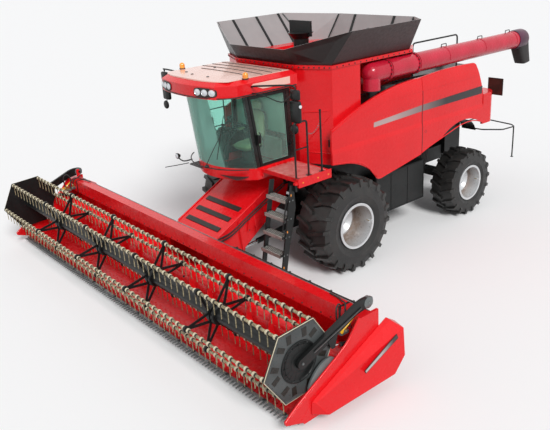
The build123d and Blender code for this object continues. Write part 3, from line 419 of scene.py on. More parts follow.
# Rims: bright paint at the edge, and a dusty brown barrel deeper in.
def rimLook(end, wheel):
    tree, shader, place = startLook(f"rim_{end}")
    radius, across = fromHub(tree, place, wheel["hub"])
    low, high = box(f"rim_{end}_left")
    deep = mapRange(tree, across, high[0] - 0.34, high[0] - 0.05, 1, 0)
    ring = mapRange(tree, radius, wheel["bead"] * 0.70, wheel["bead"] * 0.86, 0, 1)
    dirt = math2(tree, "MULTIPLY", math2(tree, "MULTIPLY", deep, ring),
                 mapRange(tree, noise(tree, place, 9, 4), 0.3, 0.7, 0.6, 1))
    colours = mixColour(tree, dirt, (0.60, 0.61, 0.62), (0.28, 0.20, 0.15))
    tree.links.new(colours, shader.inputs["Base Color"])
    roughen(tree, shader, place, 40, 0.24, 0.42)
    shader.inputs["Metallic"].default_value = 0.35
    shader.inputs["Coat Weight"].default_value = 0.3
    bump(tree, shader, noise(tree, place, 500, 2), 0.06, 0.0006)


for end, wheel in wheelSet.items():
    tyreLook(end, wheel)
    rimLook(end, wheel)


# Tinted glass: a thin green pane; lamps reach what is behind it through the transparent half of the mix.
def glassLook(name, tint, strength):
    tree, shader, place = startLook(name)
    colours = mixColour(tree, noise(tree, place, 0.8), tint, tuple(min(1.0, 1.05 * c) for c in tint))
    clear = tree.nodes.new("ShaderNodeBsdfTransparent")
    tree.links.new(colours, clear.inputs[0])
    tree.links.new(colours, shader.inputs["Base Color"])
    shader.inputs["Roughness"].default_value = 0.03
    shader.inputs["Metallic"].default_value = 0.0
    fresnel = tree.nodes.new("ShaderNodeFresnel")
    fresnel.inputs["IOR"].default_value = 1.45
    mix = tree.nodes.new("ShaderNodeMixShader")
    share = math2(tree, "ADD", math2(tree, "MULTIPLY", fresnel.outputs[0], 0.9), strength)
    tree.links.new(share, mix.inputs[0])
    tree.links.new(clear.outputs[0], mix.inputs[1])
    tree.links.new(shader.outputs[0], mix.inputs[2])
    tree.links.new(mix.outputs[0], tree.nodes["Material Output"].inputs["Surface"])


glassLook("tinted_glass", (0.74, 0.93, 0.88), 0.02)
glassLook("door_glass", (0.80, 0.93, 0.88), 0.02)
glassLook("lamp_glass", (0.93, 0.95, 0.97), 0.12)


# Lamp lens: white glass with fine upright flutes that swell and sink across it.
def lensLook():
    tree, shader, place = startLook("lens_white")
    x, y, z = parts3(tree, place)
    flutes = math2(tree, "SINE", math2(tree, "MULTIPLY", x, 620.0))
    colours = mixColour(tree, noise(tree, place, 30), (0.86, 0.90, 0.93), (0.62, 0.68, 0.72))
    tree.links.new(colours, shader.inputs["Base Color"])
    roughen(tree, shader, place, 60, 0.05, 0.14)
    shader.inputs["Coat Weight"].default_value = 0.8
    bump(tree, shader, flutes, 0.4, 0.002)


lensLook()


# Seat cloth: two crossed sets of threads, beige with a green cast, and a soft sheen.
def clothLook():
    tree, shader, place = startLook("seat_cloth")
    x, y, z = parts3(tree, place)
    warp = math2(tree, "SINE", math2(tree, "MULTIPLY", x, 1500.0))
    weft = math2(tree, "SINE", math2(tree, "MULTIPLY", math2(tree, "ADD", y, z), 1500.0))
    weave = math2(tree, "MULTIPLY", warp, weft)
    colours = mixColour(tree, noise(tree, place, 9, 4), (0.52, 0.50, 0.30), (0.42, 0.41, 0.25))
    shade = mixColour(tree, mapRange(tree, weave, -1, 1, 0, 0.35), colours, (0.30, 0.28, 0.16))
    tree.links.new(shade, shader.inputs["Base Color"])
    roughen(tree, shader, place, 40, 0.75, 0.9)
    shader.inputs["Sheen Weight"].default_value = 0.3
    bump(tree, shader, weave, 0.5, 0.001)


clothLook()


# Stripe: the first colour turns to the last along the machine between two places, broken up by a fine grain.
def stripeLook(name, start, end, first, last):
    tree, shader, place = startLook(name)
    x, y, z = parts3(tree, place)
    share = mapRange(tree, y, start + axleY, end + axleY, 0, 1)
    grain = math2(tree, "MULTIPLY", math2(tree, "SUBTRACT", noise(tree, place, 260, 2), 0.5), 0.12)
    colours = mixColour(tree, math2(tree, "ADD", share, grain), first, last)
    tree.links.new(colours, shader.inputs["Base Color"])
    roughen(tree, shader, place, 12, 0.28, 0.4)
    bump(tree, shader, noise(tree, place, 600, 2), 0.05, 0.0004)


stripeLook("side_stripe", 1.3, 3.0, (0.50, 0.36, 0.35), (0.012, 0.012, 0.013))
stripeLook("pod_stripe", -2.62, -2.36, (0.52, 0.46, 0.45), (0.03, 0.025, 0.025))


# Tank extension: black outside and pale grey inside, told apart by whether a face looks at the tank's middle.
def extensionLook():
    tree, shader, place = startLook("extension_sheet")
    low, high = box("tank_extension")
    middle = (low + high) / 2
    back = tree.nodes.new("ShaderNodeVectorMath")
    back.operation = "SUBTRACT"
    back.inputs[0].default_value = (0, middle[1] + axleY, 4.6)
    tree.links.new(place, back.inputs[1])
    facing = tree.nodes.new("ShaderNodeVectorMath")
    facing.operation = "DOT_PRODUCT"
    tree.links.new(back.outputs[0], facing.inputs[0])
    tree.links.new(tree.nodes.new("ShaderNodeNewGeometry").outputs["Normal"], facing.inputs[1])
    inside = math2(tree, "GREATER_THAN", facing.outputs["Value"], 0.05)
    pale = mixColour(tree, noise(tree, place, 3, 4), (0.36, 0.33, 0.33), (0.27, 0.25, 0.25))
    dark = mixColour(tree, noise(tree, place, 4), (0.012, 0.011, 0.011), (0.022, 0.018, 0.018))
    tree.links.new(mixColour(tree, inside, dark, pale), shader.inputs["Base Color"])
    roughen(tree, shader, place, 20, 0.32, 0.5)
    bump(tree, shader, noise(tree, place, 300, 2), 0.1, 0.0008)


extensionLook()


# Each CAD node takes the finish of its material slot, unless it is named here.
ownLooks = {
    **{f"{part}_{end}_{side}": f"{part}_{end}" for part in ("tyre", "rim") for end in wheelSet
       for side, turned in sideTurns},
    "tank_extension": "extension_sheet", "cab_door_glass": "door_glass", "unload_tube": "tube_paint",
    "rear_hood": "red_paint",
}
slots = {row["node"]: row["material_slot"] for row in frame["record"]["subparts"]}
for slot, look in (("rim_silver", "rim_front"), ("tyre_rubber", "tyre_front"), ("seat_fabric", "seat_trim")):
    looks[slot] = looks[look]
for name, node in nodes.items():
    for slot in node.material_slots:
        slot.material = looks[ownLooks.get(name, slots[name])]
print("materials made:", len(looks))


# Reel and header
reelLow, reelHigh = box("reel_frame")
reelAxis = np.array([0, (reelLow[1] + reelHigh[1]) / 2, (reelLow[2] + reelHigh[2]) / 2])
barNames = [f"reel_bar_{n + 1}" for n in range(6)]
reelHalf = box(barNames[0])[1][0] + 0.001

# Spring tines: a pale coil round the bar and a dark clip at each tine; spiders part the bar into equal bays.
tineSet = dict(pitch=0.152, margin=0.06, spiders=4, coil=0.031, wire=0.0052, turns=2.5, barRadius=0.021)
bay = 2 * reelHalf / (tineSet["spiders"] + 1)
barCentres = np.array([[0, (low[1] + high[1]) / 2, high[2] - tineSet["barRadius"]] for low, high in map(box, barNames)])


# Tines: each bay holds as many as fit at the pitch, spread evenly between its margins.
def tinePlaces():
    number = int((bay - 2 * tineSet["margin"]) / tineSet["pitch"]) + 1
    inBay = np.linspace(tineSet["margin"], bay - tineSet["margin"], number)
    return (-reelHalf + bay * np.arange(tineSet["spiders"] + 1)[:, None] + inBay).ravel()


# Coil: the wire winds round the bar as a helix whose place along the bar grows with its turn.
def coilPart():
    turn = np.linspace(0, 2 * np.pi * tineSet["turns"], 22)
    along = np.linspace(-0.016, 0.016, len(turn))
    path = np.column_stack([along, tineSet["coil"] * np.cos(turn), tineSet["coil"] * np.sin(turn)])
    return tubePart(path, tineSet["wire"], 5, side=(1, 0, 0))


coil = coilPart()
clip = lathePart([(-0.012, 0.022), (-0.012, 0.027), (0.012, 0.027), (0.012, 0.022)], (0, 0, 0), "x", 10)
clip = copies(clip, (0.034, 0, 0))
for name, centre in zip(barNames, barCentres):
    places = np.outer(tinePlaces(), (1, 0, 0)) + centre
    addPiece(f"tine_springs_{name[-1]}", copies(coil, places), "clip_pale", name, flat=60)
    addPiece(f"tine_clips_{name[-1]}", copies(clip, places), "clip_dark", name)

# Reel spiders: a round bearing at each bar, in line with the spokes.
spiderX = -reelHalf + bay * (1 + np.arange(tineSet["spiders"]))
bearing = lathePart([(-0.024, 0.027), (-0.024, 0.048), (-0.012, 0.054), (0.012, 0.054), (0.024, 0.048), (0.024, 0.027)],
                    (0, 0, 0), "x", 14)
bearingPlaces = np.concatenate([barCentres + np.array([x, 0, 0]) for x in spiderX])
addPiece("spider_bearings", copies(bearing, bearingPlaces), "black_paint", "reel")

# Hub clamps on the reel tube: a ring on each side of a spider, with six bolts in the outer one.
hub = lathePart([(0.0, 0.111), (0.0, 0.150), (0.02, 0.162), (0.05, 0.162), (0.07, 0.150), (0.07, 0.111)],
                reelAxis, "x", 28)
hubs = copies(hub, [(x + s * 0.06 - 0.035, 0, 0) for x in spiderX for s in (-1, 1)])
hubBolts = copies(boltPart(0.010), placesRound(0, *reelAxis[1:], 0.136, 6, 0.3))
hubBolts = copies(hubBolts, [(x + 0.096, 0, 0) for x in spiderX])
addPiece("spider_hubs", joinParts(hubs, hubBolts), "black_paint", "reel")

# End shields: bolts along the lines between the bars and round the drive drum.
shareAlong = np.linspace(0.12, 0.88, 5)[None, :, None]
edgePlaces = barCentres[:, None] * (1 - shareAlong) + np.roll(barCentres, -1, 0)[:, None] * shareAlong
ends = joinParts(copies(boltPart(0.007), edgePlaces.reshape(-1, 3) + np.array([reelHalf + 0.001, 0, 0])),
                 copies(boltPart(0.008), placesRound(reelHalf + 0.020, *reelAxis[1:], 0.276, 12)))
addPiece("shield_bolts", bothSides(ends), "dark_steel", "reel")

# Drive cap: a flat cover over the drum's middle with sixteen cooling ribs round it.
cap = lathePart([(0.019, 0.15), (0.021, 0.14), (0.021, 0.06), (0.027, 0.052), (0.027, 0.0365)],
                (reelHalf, *reelAxis[1:]), "x", 32)
points, faces = prismPart([(0.155, -0.004), (0.255, -0.004), (0.255, 0.004), (0.155, 0.004)], 0.004, 0.017, "x")
ribs = joinParts(*[(points @ turnMatrix(angle), faces) for angle in np.arange(16) * np.pi / 8])
ribs = copies(ribs, (reelHalf, *reelAxis[1:]))
addPiece("drive_drums", bothSides(joinParts(cap, ribs)), "black_paint", "reel")
print("reel dressed")

# Header back tube: a strap near each end, bolts along its front and an edge strip on its top.
sheetHalf = box("knife")[1][0] + 0.002
beam = dict(front=-2.770, back=-2.555, high=1.215)
seam = prismPart([(beam["front"] - 0.004, 0.94), (beam["front"] - 0.004, beam["high"] + 0.004),
                  (beam["back"] + 0.004, beam["high"] + 0.004), (beam["back"] + 0.004, beam["high"] - 0.002),
                  (beam["front"] + 0.002, beam["high"] - 0.002), (beam["front"] + 0.002, 0.94)], 4.160, 4.200, "x")
addPiece("back_tube_straps", bothSides(seam), "black_paint", "header")
flangeBolts = [(x, beam["front"], 0.985) for x in np.linspace(-4.4, 4.4, 45)]
addPiece("back_tube_bolts", copies(boltPart(0.009, "y", -1), flangeBolts), "dark_steel", "header")
edgeStrip = platePart((0, beam["back"] - 0.012, beam["high"] + 0.002), sheetHalf - 0.02, 0.010,
                      0.006, 0.004, "z", 0.001)
addPiece("back_tube_edge", edgeStrip, "grey_steel", "header")

# Hoses along the tube's back: smooth runs held by clamps, from the middle to the near end.
hoseSet = dict(radius=0.011, rows=3, step=0.028)


# Hose: a smooth path along the tube's back, raised by the offset.
def hoseRun(offset):
    points = [(0.9, -2.50, 1.00), (1.4, -2.515, 1.16 + offset), (2.2, -2.515, 1.175 + offset),
              (3.2, -2.515, 1.17 + offset), (4.1, -2.515, 1.175 + offset), (4.36, -2.53, 1.235),
              (4.47, -2.60, 1.28 + offset)]
    return tubePart(smoothPath(points, 6), hoseSet["radius"], 8)


addPiece("back_tube_hoses", joinParts(*[hoseRun(hoseSet["step"] * n - 0.03) for n in range(hoseSet["rows"])]),
         "black_rubber", "header")
clamp = platePart((0, -2.512, 1.165), 0.016, 0.055, 0.034, 0.008, "y", 0.003)
addPiece("hose_clamps", copies(clamp, [(x, 0, 0) for x in np.arange(1.5, 4.3, 0.45)]), "dark_steel", "header")


# Crop dividers: faceted pods outside the end walls, with a ridge that falls to the nose
pod = dict(inner=sheetHalf + 0.042, outer=4.798, ridge=0.062)


# Pod: an inner outline, a ridge line and an outer outline are joined by flat faces.
def podPart():
    x0, x1, xr = pod["inner"], pod["outer"], pod["inner"] + pod["ridge"]
    inner = [(x0, -3.760, 0.175), (x0, -3.745, 0.370), (x0, -2.300, 1.030), (x0, -2.110, 0.900),
             (x0, -2.110, 0.430), (x0, -2.320, 0.165)]
    nose, ridge = (xr, -3.712, 0.366), (xr, -2.272, 1.000)
    foot, shoulder = (x1, -3.611, 0.200), (x1, -2.138, 0.870)
    heel, sole = (x1, -2.102, 0.409), (x1, -2.316, 0.189)
    points = np.array([*inner, nose, ridge, foot, shoulder, heel, sole])
    quads = np.array([(1, 6, 7, 2), (2, 7, 9, 3), (3, 9, 10, 4), (4, 10, 11, 5), (5, 11, 8, 0), (0, 8, 6, 1)])
    return points, [np.array([(5, 4, 3, 2, 1, 0)]), quads, np.array([(6, 9, 7)]), np.array([(6, 8, 11, 10, 9)])]


podPiece = addPiece("divider_pods", bothSides(podPart()), "red_paint", "header", flat=20, bevel=0.010)
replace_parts(podPiece, "dividers")

# Painted shade: a dark plate fills the shadowed gap between the pod and the end wall.
plate = prismPart([(-3.70, 0.20), (-3.66, 0.36), (-2.34, 0.96), (-2.16, 0.85), (-2.16, 0.45), (-2.34, 0.20)],
                  sheetHalf + 0.0405, pod["inner"] - 0.0005, "x")
addPiece("divider_gap_shade", bothSides(plate), "clip_dark", "header")


# Strip on the pod's outer face, along its upper rear edge: a thin blank plate with a dark edge under it.
def podStrip(grow, lift, thick=0.003):
    a, b = np.array([-2.915, 0.515]), np.array([-2.285, 0.795])
    way = (b - a) / np.linalg.norm(b - a)
    up = np.array([-way[1], way[0]])
    outline = [a - way * grow - up * (0.006 + grow), b + way * grow - up * (0.034 + grow),
               b + way * grow + up * (0.034 + grow), a - way * grow + up * (0.030 + grow)]
    return prismPart(outline, pod["outer"] + lift, pod["outer"] + lift + thick, "x")


addPiece("pod_strip_edges", bothSides(podStrip(0.010, -0.001)), "clip_dark", "header")
addPiece("pod_strips", bothSides(podStrip(0.0, 0.000, 0.0045)), "pod_stripe", "header")

# End walls: slim points ahead of the knife, a folded edge along the top and dark gear covers inside
tip = [(-3.900, 0.120), (-4.185, 0.225), (-4.190, 0.262), (-3.90, 0.440), (-3.50, 0.662), (-3.05, 0.925),
       (-3.04, 0.900), (-3.40, 0.600), (-3.78, 0.300)]
tips = prismPart(tip, 4.562, 4.598, "x")
addPiece("end_wall_points", bothSides(tips), "red_paint", "header", bevel=0.004)
wallEdge = tubePart(smoothPath([(4.580, -4.185, 0.268), (4.580, -3.92, 0.445), (4.580, -3.50, 0.668),
                                (4.580, -3.05, 0.930), (4.580, -2.80, 1.215)], 6), 0.020, 8, (1, 0, 0))
addPiece("end_wall_edges", bothSides(wallEdge), "red_paint", "header", flat=60)


# Oval cover: rings of an egg outline step in towards its crowned face; the egg leans along the end wall.
def ovalCover():
    turn = np.linspace(0, 2 * np.pi, 48, endpoint=False)
    u, v = 0.285 * np.cos(turn), 0.150 * np.sin(turn) * (1 + 0.16 * np.cos(turn))
    lean = math.radians(34)
    rings = []
    for size, x in ((1.0, 4.560), (1.0, 4.534), (0.97, 4.526), (0.90, 4.519), (0.70, 4.511), (0.40, 4.506),
                    (0.15, 4.505), (0.0, 4.505)):
        y = -3.500 + size * (u * math.cos(lean) - v * math.sin(lean))
        z = 0.640 + size * (u * math.sin(lean) + v * math.cos(lean))
        rings.append(np.stack([np.full_like(y, x), y, z], -1))
    return gridPart(np.stack(rings), closeJ=True, caps=True)


addPiece("drive_covers", bothSides(ovalCover()), "cover_grey", "header", flat=40)

# Knife: a steel bar, red teeth behind it, pointed guards in front and plates that hold it down
barPart = prismPart([(-3.985, 0.1165), (-3.930, 0.1165), (-3.930, 0.128), (-3.985, 0.126)],
                    -sheetHalf + 0.01, sheetHalf - 0.01, "x")
addPiece("knife_bar", barPart, "grey_steel", "header")
toothX = np.arange(-4.50, 4.50, 0.0762)
tooth = (np.array([(-0.036, -3.935, 0.128), (0.036, -3.935, 0.128), (0.036, -3.935, 0.140), (-0.036, -3.935, 0.140),
                   (-0.010, -3.860, 0.150), (0.010, -3.860, 0.150), (0.010, -3.860, 0.158), (-0.010, -3.860, 0.158)]),
         [np.array([(0, 1, 5, 4), (1, 2, 6, 5), (2, 3, 7, 6), (3, 0, 4, 7), (3, 2, 1, 0), (4, 5, 6, 7)])])
offsets = np.outer(toothX, (1, 0, 0))
addPiece("knife_teeth", copies(tooth, offsets), "red_cast", "header", flat=20)
guard = lathePart([(-4.055, 0.002), (-4.02, 0.009), (-3.97, 0.014), (-3.93, 0.016)], (0, 0, 0.107), "y", 6)
addPiece("knife_guards", copies(guard, offsets), "dark_steel", "header", flat=40)
hold = platePart((0, -3.955, 0.132), 0.022, 0.030, 0.010, 0.006, "z", 0.002)
addPiece("knife_hold_downs", copies(hold, [(x, 0, 0) for x in np.arange(-4.3, 4.4, 0.43)]), "dark_steel", "header")

# Reel end shields: a grey sheet over the hexagon with a pale rim, a dish ring, dark plates painted as the shade in its
# slots, and the drive motor
shieldOut = reelHalf + 0.001
shieldAxis = (shieldOut, *reelAxis[1:])
order = np.argsort(np.arctan2(barCentres[:, 2] - reelAxis[2], barCentres[:, 1] - reelAxis[1]))
hexYZ = barCentres[order][:, 1:] - reelAxis[1:]


# Hexagon: the bars' places are scaled to the reach of the first one.
def hexRing(reach, x):
    scale = reach / np.linalg.norm(hexYZ[0])
    return np.column_stack([np.full(6, x), hexYZ * scale]) + reelAxis * np.array([0, 1, 1])


# Sheet: rings of (reach, height) step from the rim to a sunk middle.
sheetRings = ((0.592, 0.0005), (0.592, 0.012), (0.580, 0.014), (0.560, 0.005), (0.34, 0.005), (0.33, 0.002))
sheet = gridPart(np.stack([hexRing(reach, shieldOut + out) for reach, out in sheetRings]), closeJ=True, caps=True)
addPiece("shield_sheets", bothSides(sheet), "shield_grey", "reel", flat=25)
dish = lathePart([(0.004, 0.305), (0.018, 0.300), (0.020, 0.286), (0.010, 0.276), (0.006, 0.262)], shieldAxis, "x", 40)
motor = lathePart([(0.004, 0.250), (0.013, 0.245), (0.015, 0.16)], shieldAxis, "x", 36)
addPiece("shield_rings", bothSides(joinParts(dish, motor)), "black_paint", "reel", flat=40)

# Slots: two dark plates to each side of the hexagon, painted shade where the openings are, a little wider outwards;
# corners are (reach, offset).
slotCorners = ((0.325, -0.035), (0.325, 0.035), (0.455, 0.042), (0.455, -0.042))
slotShadePlates = []
for n in range(6):
    a = math.atan2(*(hexYZ[n] + hexYZ[(n + 1) % 6])[::-1])
    way, across = np.array([math.cos(a), math.sin(a)]), np.array([-math.sin(a), math.cos(a)])
    for shift in (-0.13, 0.13):
        outline = [way * reach + across * (shift + offset) + reelAxis[1:] for reach, offset in slotCorners]
        slotShadePlates.append(prismPart(outline, shieldOut + 0.004, shieldOut + 0.009, "x"))
addPiece("shield_slot_shade", bothSides(joinParts(*slotShadePlates)), "clip_dark", "reel")
rimTube = hexRing(0.592, shieldOut + 0.008)
rimLines = joinParts(*[tubePart(np.linspace(rimTube[n], rimTube[(n + 1) % 6], 3), 0.0065, 6, (1, 0, 0))
                       for n in range(6)])
addPiece("shield_rims", bothSides(rimLines), "clip_pale", "reel", flat=60)

# Reel arms: a cap round the nose, a pin at each end, and a rib with a hose over it along the arm
arm = dict(x=4.505, y=-2.560, z=1.335)
nose = lathePart([(-0.034, 0.078), (-0.030, 0.086), (0.030, 0.086), (0.034, 0.078), (0.034, 0.03)],
                 tuple(arm.values()), "x", 28)
addPiece("arm_noses", bothSides(nose), "cover_grey", "reel_arms", flat=40)
pins = copies(boltPart(0.013), [(arm["x"] + 0.028, arm["y"], arm["z"]), (arm["x"] + 0.0255, *reelAxis[1:])])
addPiece("arm_pins", bothSides(pins), "grey_steel", "reel_arms")


# Arm line: points from the reel's axis towards the nose, moved by (out, up).
def armLine(out, up):
    way = np.array([0, arm["y"] - reelAxis[1], arm["z"] - reelAxis[2]])
    return reelAxis + np.array([arm["x"] + out, 0, up]) + np.linspace(0.16, 0.88, 12)[:, None] * way


rib, hose = tubePart(armLine(0.0265, 0.012), 0.009, 6, (1, 0, 0)), tubePart(armLine(0.034, 0.030), 0.008, 8, (1, 0, 0))
addPiece("arm_ribs", bothSides(rib), "cover_grey", "reel_arms", flat=60)
addPiece("arm_hoses", bothSides(hose), "black_rubber", "reel_arms", flat=60)

# Couplings at each end: blocks with brass and pale fittings, hose loops over them and a yellow valve handle, all moved
# inwards from the reel's rams.
inward, handleInward = (-0.078, 0, 0), (-0.102, 0, 0)
blockPart = joinParts(platePart((4.47, -2.93, 0.985), 0.055, 0.075, 0.045, 0.012, "z", 0.004),
                      platePart((4.42, -2.80, 1.03), 0.05, 0.06, 0.05, 0.012, "z", 0.004))
addPiece("valve_blocks", bothSides(copies(blockPart, inward)), "grey_steel", "header")
nut = joinParts(lathePart([(0, 0.017), (0.018, 0.017), (0.020, 0.013)], (0, 0, 0), "z", 6),
                lathePart([(0.018, 0.012), (0.050, 0.012), (0.052, 0.009)], (0, 0, 0), "z", 12))
spots = np.add([(4.435, -2.98, 1.006), (4.475, -2.95, 1.006), (4.505, -2.90, 1.006), (4.44, -2.88, 1.006),
                (4.40, -2.82, 1.054), (4.44, -2.78, 1.054)], inward)
addPiece("hose_fittings", bothSides(copies(nut, spots)), "brass", "header", flat=40)
paleNuts = copies(lathePart([(0.050, 0.010), (0.066, 0.012), (0.078, 0.012), (0.080, 0.008)], (0, 0, 0), "z", 10),
                  spots[::2])
addPiece("hose_ferrules", bothSides(paleNuts), "clip_pale", "header", flat=40)
first = smoothPath([(4.435, -2.98, 1.08), (4.430, -3.00, 1.20), (4.42, -2.99, 1.33), (4.40, -2.93, 1.375),
                    (4.38, -2.87, 1.32), (4.36, -2.87, 1.20), (4.36, -2.90, 1.07)], 6)
second = smoothPath([(4.44, -2.88, 1.08), (4.44, -2.82, 1.19), (4.45, -2.74, 1.24),
                     (4.46, -2.66, 1.22), (4.47, -2.58, 1.26)], 6)
third = smoothPath([(4.40, -2.82, 1.12), (4.37, -2.77, 1.23), (4.30, -2.70, 1.262), (4.20, -2.66, 1.245),
                    (4.10, -2.62, 1.235), (3.9, -2.60, 1.232)], 6)
loops = joinParts(tubePart(first, 0.0125, 8, (1, 0.2, 0)), tubePart(second, 0.011, 8, (1, 0, 0.1)),
                  tubePart(third, 0.011, 8))
addPiece("coupling_hoses", bothSides(copies(loops, inward)), "black_rubber", "header", flat=60)
handle = tubePart(np.array([(4.545, -3.00, 1.03), (4.548, -2.90, 1.085), (4.550, -2.80, 1.15), (4.552, -2.72, 1.205)]),
                  [0.010, 0.014, 0.014, 0.012], 8, (1, 0, 0))
knobPart = lathePart([(-0.018, 0.012), (-0.014, 0.026), (0.014, 0.026), (0.018, 0.012)], (4.545, -3.00, 1.03), "x", 18)
addPiece("valve_handles", bothSides(copies(joinParts(handle, knobPart), handleInward)),
         "yellow_paint", "header", flat=50)

# Back wall and screw: seams down the sheet, guides where the screw's fingers come out, and rings round its tube
seamRib = prismPart([(-2.5735, 0.50), (-2.564, 0.50), (-2.564, 0.92), (-2.5735, 0.92)], -0.014, 0.014, "x")
seamPlaces = [(s * x, 0, 0) for s in (-1, 1) for x in (1.5, 2.3, 3.1, 3.9)]
addPiece("back_sheet_seams", copies(seamRib, sorted(seamPlaces)), "red_paint", "header")
augerAxis = np.array([0, -2.905, 0.520])
points, faces = lathePart([(0, 0.022), (0.012, 0.020), (0.014, 0.010), (0.0, 0.008)], (0, 0, 0.188), "z", 10)
guides = [(points @ turnMatrix(2.4 * k) + augerAxis + np.array([x, 0, 0]), faces)
          for k, x in enumerate(np.linspace(-0.62, 0.62, 12))]
addPiece("finger_guides", joinParts(*guides), "black_rubber", "header_auger")
seamRing = lathePart([(-0.004, 0.1905), (-0.003, 0.1935), (0.003, 0.1935), (0.004, 0.1905)], augerAxis, "x", 32)
seamRings = copies(seamRing, [(x, 0, 0) for x in (-3.4, -2.0, -0.75, 0.75, 2.0, 3.4)])
addPiece("auger_seams", seamRings, "red_cast", "header_auger")

# Feeder house: steps across the top, edge bars, side ribs, cover plates with their bolts, and hoses
feederTop = ([-2.33, -1.00, -0.66], [1.060, 1.730, 1.920])
feederLow = ([-2.33, -0.70], [0.280, 1.390])
slopes = []
for y in (-2.18, -1.93, -1.68):
    z = np.interp(y, *feederTop)
    section = [(y - 0.045, z - 0.020), (y + 0.045, z + 0.024), (y + 0.040, z + 0.040), (y - 0.050, z - 0.003)]
    slopes.append(prismPart(section, -0.52, 0.52, "x"))
addPiece("feeder_steps", joinParts(*slopes), "clip_dark", "header")
edgePath = [(0.655, y, np.interp(y, *feederTop) + 0.010) for y in (-2.32, -1.9, -1.4, -1.0, -0.72)]
addPiece("feeder_edges", bothSides(tubePart(edgePath, 0.014, 6)), "red_paint", "header", flat=60)
ribs = []
for y in (-2.15, -1.80, -1.45, -1.10):
    foot = (0.688, y, np.interp(y, *feederLow) + 0.04)
    head = (0.688, y - 0.06, np.interp(y - 0.06, *feederTop) - 0.04)
    ribs.append(tubePart(np.linspace(foot, head, 4), 0.013, 6, (1, 0, 0)))
addPiece("feeder_side_ribs", bothSides(joinParts(*ribs)), "red_paint", "header", flat=60)
cover = prismPart([(-1.66, 0.98), (-1.20, 1.20), (-1.20, 1.46), (-1.62, 1.25)], 0.682, 0.690, "x")
coverCorners = ((-1.62, 1.02), (-1.24, 1.20), (-1.24, 1.42), (-1.60, 1.22))
coverBolts = copies(boltPart(0.008), [(0.690, y, z) for y, z in coverCorners])
addPiece("feeder_covers", bothSides(cover), "red_paint", "header", bevel=0.002)
addPiece("feeder_cover_bolts", bothSides(coverBolts), "dark_steel", "header")
hoseRuns = []
for n in range(4):
    x, z = 0.715 + 0.028 * (n % 2), 0.03 * n
    path = smoothPath([(x, -0.75, 1.66 + z), (x, -1.10, 1.50 + z), (x, -1.60, 1.27 + z), (x, -2.05, 1.05 + z),
                       (x + 0.05, -2.40, 1.02 + z), (0.93, -2.515, 1.06 + 0.02 * n)], 6)
    hoseRuns.append(tubePart(path, hoseSet["radius"], 8))
addPiece("feeder_hoses", joinParts(*hoseRuns), "black_rubber", "header", flat=60)
print("header dressed")


# Side panels: trims lie on the panel's own skin, whose x is read off its section at each height
skinTable = np.array([(1.500, 1.600), (1.950, 1.624), (2.330, 1.628), (2.420, 1.610), (2.640, 1.610), (2.860, 1.622),
                      (3.000, 1.6165), (3.150, 1.604), (3.270, 1.5835), (3.380, 1.560)])
sideTrim = dict(crease=0.010, stripe=0.0035, seal=0.004, lip=0.012)


# Skin: x is read off the table at a height.
def skinX(z):
    return np.interp(z, skinTable[:, 0], skinTable[:, 1])


# Band: rows between a low and a high line climb the skin, and come down again a little deeper, along the machine.
def skinBand(ys, lowLine, highLine, lift, thick=0.012, rows=9):
    ys = np.asarray(ys, float)
    low, high = np.interp(ys, *np.array(lowLine).T), np.interp(ys, *np.array(highLine).T)
    share = np.linspace(0, 1, rows)
    z = low[:, None] * (1 - share) + high[:, None] * share
    z = np.hstack([z, z[:, ::-1]])
    x = skinX(z) + lift - np.repeat([0, thick], rows)
    return gridPart(np.stack([x, np.broadcast_to(ys[:, None], z.shape), z], -1), closeJ=True, caps=True)


# Lines along the machine, as (y, z): the raised skin's edges, the wheel arches' lips and the stripe's edges.
topLine = [(-0.32, 2.76), (0.0, 2.905), (0.4, 3.06), (0.76, 3.163), (1.2, 3.236), (1.7, 3.29),
           (2.22, 3.316), (2.7, 3.345), (3.3, 3.356), (4.0, 3.338), (4.06, 3.298), (4.16, 3.06)]
creaseLine = [(-0.32, 2.74), (0.1, 2.86), (0.6, 2.975), (1.08, 3.04), (2.2, 3.055), (4.16, 3.055)]
creaseEnds = dict(front=(-0.31, 2.213), rear=(2.227, 4.155))
stripeEnds = dict(front=(0.79, 2.213), rear=(2.244, 4.27))
archLines = dict(front=[(2.20, 1.745), (1.64, 1.650), (1.20, 1.580), (0.93, 1.549), (0.80, 1.664),
                        (0.64, 1.835), (0.46, 1.965), (0.26, 2.045), (0.04, 2.092), (-0.31, 2.140)],
                 rear=[(4.31, 1.992), (4.14, 2.052), (3.95, 2.090), (3.72, 2.098), (3.45, 2.072),
                       (3.20, 2.015), (2.9, 1.945), (2.55, 1.862), (2.235, 1.768)])
stripeLow = [(0.79, 2.612), (2.2, 2.645), (4.3, 2.645)]
stripeHigh = [(0.79, 2.705), (2.2, 2.775), (4.3, 2.815)]
for end in ("front", "rear"):
    crease = skinBand(np.linspace(*creaseEnds[end], 40), creaseLine,
                      [(y, z - 0.016) for y, z in topLine], sideTrim["crease"])
    path = smoothPath([(float(skinX(z)) - 0.002, y, z + 0.012) for y, z in archLines[end]], 5)
    lip = tubePart(path, sideTrim["lip"], 8, side=(1, 0, 0))
    stripe = skinBand(np.linspace(*stripeEnds[end], 24), stripeLow, stripeHigh, sideTrim["stripe"], 0.006, 5)
    for side, turned in sideTurns:
        body = f"panel_{end}_{side}"
        addPiece(f"upper_skin_{end}_{side}", turned(crease), "red_paint", body, flat=24)
        addPiece(f"arch_lip_{end}_{side}", turned(lip), "red_paint", body, flat=60)
        addPiece(f"side_band_{end}_{side}", turned(stripe), "side_stripe", body)
seal = skinBand(np.linspace(2.2275, 2.2400, 3), [(2, 1.80), (3, 1.80)], [(2, 3.28), (3, 3.28)],
                sideTrim["seal"], 0.010, 30)
latch = lathePart([(0, 0.030), (0.006, 0.030), (0.008, 0.024), (0.004, 0.020), (0.004, 0.0)],
                  (1.622, 2.33, 2.21), "x", 20)
